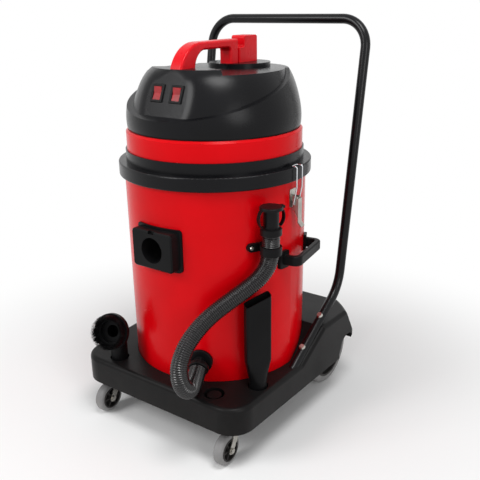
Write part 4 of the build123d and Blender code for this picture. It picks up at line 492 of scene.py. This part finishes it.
black_tube = finish(
    "black_tube", linear(16, 16, 18), linear(11, 11, 13), gloss=(0.20, 0.28),
    grain=420.0, bump=0.05, mottle=18.0,
    Specular_IOR_Level=0.2,
)
print("mouldings", red_gloss.name, black_cover.name, black_trolley.name)

# %% Rubber, bristle, tyres and metal
hose_rubber = finish(
    "hose_rubber", linear(6, 5, 6), linear(3, 3, 3), gloss=(0.12, 0.17),
    grain=1500.0, bump=0.03, mottle=30.0,
    Specular_IOR_Level=0.45,
)
# Lighter crests are a painted highlight along each rib, and the dark grooves between them are
# painted shade.
paint_crest_highlight(hose_rubber, "rib", linear(40, 38, 39))
soft_rubber = finish(
    "soft_rubber", linear(17, 16, 17), linear(12, 12, 13), gloss=(0.30, 0.40),
    grain=1500.0, bump=0.15, mottle=30.0,
    Specular_IOR_Level=0.12,
)
nylon_strand = finish(
    "nylon_strand", linear(17, 17, 18), linear(10, 10, 11), gloss=(0.36, 0.50),
    grain=2000.0, bump=0.05, mottle=120.0,
    Specular_IOR_Level=0.15,
)
grey_tyre = finish(
    "grey_tyre", linear(136, 136, 137), linear(118, 118, 120), gloss=(0.46, 0.60),
    grain=1200.0, bump=0.25, mottle=26.0,
    dust=(0.24, 0.3), Specular_IOR_Level=0.25,
)
dark_hub = finish(
    "dark_hub", linear(30, 30, 33), linear(21, 21, 24), gloss=(0.40, 0.55),
    grain=1100.0, bump=0.2, mottle=24.0,
    dust=(0.24, 0.15), Specular_IOR_Level=0.15,
)
zinc_plate = finish(
    "zinc_plate", linear(190, 187, 180), linear(162, 159, 152), gloss=(0.24, 0.42),
    grain=800.0, bump=0.08, mottle=46.0,
    Metallic=1.0,
)
bright_wire = finish(
    "bright_wire", linear(214, 215, 218), linear(198, 199, 203), gloss=(0.14, 0.24),
    grain=900.0, bump=0.03, mottle=60.0,
    Metallic=1.0,
)
motor_metal = finish(
    "motor_metal", linear(160, 161, 165), linear(138, 139, 143), gloss=(0.35, 0.5),
    grain=600.0, bump=0.1, mottle=20.0,
    Metallic=1.0,
)
filter_felt = finish(
    "filter_felt", linear(214, 209, 196), linear(198, 192, 178), gloss=(0.85, 0.95),
    grain=700.0, bump=0.5, mottle=12.0,
)
float_white = finish(
    "float_white", linear(222, 222, 220), linear(210, 210, 208), gloss=(0.35, 0.45),
    grain=900.0, bump=0.05, mottle=30.0,
)
print("others", hose_rubber.name, grey_tyre.name, zinc_plate.name)

# %% Which node wears which finish
FINISH_OF = {
    red_gloss: ["tank", "red_band"],
    red_handle: ["carry_handle", "cord_hook"],
    red_rocker: ["switch_rocker_left", "switch_rocker_right"],
    black_cover: ["motor_cover", "head_base", "head_rim", "head_ring"],
    black_moulding: [
        "inlet_block", "inlet_nut", "drain_outlet", "drain_nut", "hose_clip", "side_grip_right",
        "switch_frames", "crevice_tool", "round_brush", "suction_chamber", "float_cage",
        "filter_cage",
    ],
    black_trolley: ["trolley_chassis"],
    black_tube: ["push_handle"],
    hose_rubber: ["drain_hose"],
    soft_rubber: [
        "drain_cuff", "hose_collar", "drain_stopper", "head_seal", "motor_gaskets", "cable_gland",
    ],
    nylon_strand: ["brush_bristles"],
    grey_tyre: ["rear_tyre_left", "rear_tyre_right", "caster_tyre_left", "caster_tyre_right"],
    dark_hub: [
        "rear_hub_left", "rear_hub_right", "caster_hub_left", "caster_hub_right", "axle_caps",
        "axle_spacers",
    ],
    zinc_plate: [
        "handle_bolts", "rear_axle", "caster_stems", "caster_fork_left", "caster_fork_right",
        "caster_axle_left", "caster_axle_right", "clip_screws", "latch_brackets",
        "latch_lever_left", "latch_lever_right",
    ],
    bright_wire: ["latch_bail_left", "latch_bail_right"],
    motor_metal: ["motor_housings", "motor_rotor_left", "motor_rotor_right"],
    filter_felt: ["filter_cup"],
    float_white: ["float_ball"],
}


def paint(piece, material):
    piece.data.materials.clear()
    piece.data.materials.append(material)


for material, names in FINISH_OF.items():
    for name in names:
        paint(nodes[name], material)
paint(drain_hose, hose_rubber)
paint(brush_bristles, nylon_strand)
print("painted", sum(map(len, FINISH_OF.values())), "of", len(nodes))

# %% [markdown]
# ## Floor and light
# The machine stands on a pale floor that fades into a white background. A plain floor goes grey
# where the lamps don't reach, so far from the machine the camera and mirror-like metal see plain
# white instead, while near it the floor is lit and keeps the shadow.


# %% Floor and world
FLOOR_HALF = 14.0
FLOOR_DROP = 0.0005
FLOOR_LIT = 0.4
FLOOR_FADED = 1.2
SOFT_LIGHT = 0.38


def seen_rays(tree):
    """1 for rays from the camera, from gloss and through clear material, 0 for the rest."""
    rays = tree.nodes.new("ShaderNodeLightPath")
    total = rays.outputs["Is Camera Ray"]
    for kind in ("Is Glossy Ray", "Is Transmission Ray"):
        larger = tree.nodes.new("ShaderNodeMath")
        larger.operation = "MAXIMUM"
        tree.links.new(total, larger.inputs[0])
        tree.links.new(rays.outputs[kind], larger.inputs[1])
        total = larger.outputs["Value"]
    return total


def white_background(strength):
    """White where it is seen, and a plain soft light of this strength on everything else."""
    world = bpy.data.worlds.new("studio")
    bpy.context.scene.world = world
    world.use_nodes = True
    tree = world.node_tree
    soft = tree.nodes["Background"]
    soft.inputs["Color"].default_value = (1, 1, 1, 1)
    soft.inputs["Strength"].default_value = strength
    seen = tree.nodes.new("ShaderNodeBackground")
    seen.inputs["Color"].default_value = (1, 1, 1, 1)
    mix = tree.nodes.new("ShaderNodeMixShader")
    tree.links.new(seen_rays(tree), mix.inputs["Fac"])
    tree.links.new(soft.outputs["Background"], mix.inputs[1])
    tree.links.new(seen.outputs["Background"], mix.inputs[2])
    tree.links.new(mix.outputs["Shader"], tree.nodes["World Output"].inputs["Surface"])


def floor_finish(near, far):
    """Lit white out to the near radius, then a fade to plain white at the far one."""
    white = bpy.data.materials.new("floor_white")
    white.use_nodes = True
    tree = white.node_tree
    lit = tree.nodes["Principled BSDF"]
    lit.inputs["Base Color"].default_value = linear(246, 246, 246)
    lit.inputs["Roughness"].default_value = 0.8
    lit.inputs["Specular IOR Level"].default_value = 0.1
    glow = tree.nodes.new("ShaderNodeEmission")
    spot = tree.nodes.new("ShaderNodeTexCoord")
    reach = tree.nodes.new("ShaderNodeVectorMath")
    reach.operation = "LENGTH"
    fade = tree.nodes.new("ShaderNodeMapRange")
    fade.interpolation_type = "SMOOTHSTEP"
    fade.inputs["From Min"].default_value = near
    fade.inputs["From Max"].default_value = far
    share = tree.nodes.new("ShaderNodeMath")
    share.operation = "MULTIPLY"
    mix = tree.nodes.new("ShaderNodeMixShader")
    tree.links.new(spot.outputs["Object"], reach.inputs[0])
    tree.links.new(reach.outputs["Value"], fade.inputs["Value"])
    tree.links.new(fade.outputs["Result"], share.inputs[0])
    tree.links.new(seen_rays(tree), share.inputs[1])
    tree.links.new(share.outputs["Value"], mix.inputs["Fac"])
    tree.links.new(lit.outputs["BSDF"], mix.inputs[1])
    tree.links.new(glow.outputs["Emission"], mix.inputs[2])
    tree.links.new(mix.outputs["Shader"], tree.nodes["Material Output"].inputs["Surface"])
    return white


def pale_floor():
    """A flat square, a hair below z = 0 so that the tyres stand on it."""
    corner = np.array([(-1, -1), (1, -1), (1, 1), (-1, 1)]) * FLOOR_HALF
    corner = np.c_[corner, np.full(4, -FLOOR_DROP)]
    floor = piece_from("pale_floor", corner, np.array([[0, 1, 2, 3]]), smooth=False)
    paint(floor, floor_finish(FLOOR_LIT, FLOOR_FADED))
    return floor


white_background(SOFT_LIGHT)
floor = pale_floor()
print("floor", floor.name)

# %% [markdown]
# ## Lamps
# One broad lamp at the front left draws the soft highlight down the tank and over the hood, a
# weaker one on the right keeps the shaded side readable, and one above lights the deck.


# %% Lamps
def soft_lamp(name, spot, aim, size, watts):
    lamp = bpy.data.lights.new(name, "AREA")
    lamp.shape = "DISK"
    lamp.size = size
    lamp.energy = watts
    holder = bpy.data.objects.new(name, lamp)
    holder.location = spot
    holder.rotation_mode = "QUATERNION"
    holder.rotation_quaternion = (Vector(aim) - Vector(spot)).to_track_quat("-Z", "Y")
    bpy.context.collection.objects.link(holder)
    return holder


soft_lamp("key_lamp", (-1.3, -2.6, 2.4), (0, 0, 0.5), 1.6, 52.0)
soft_lamp("fill_lamp", (2.8, -1.2, 1.5), (0, 0, 0.5), 1.4, 20.0)
soft_lamp("top_lamp", (0.9, -0.7, 2.9), (0, 0, 0.6), 1.1, 34.0)
bpy.context.scene.view_settings.view_transform = "Standard"
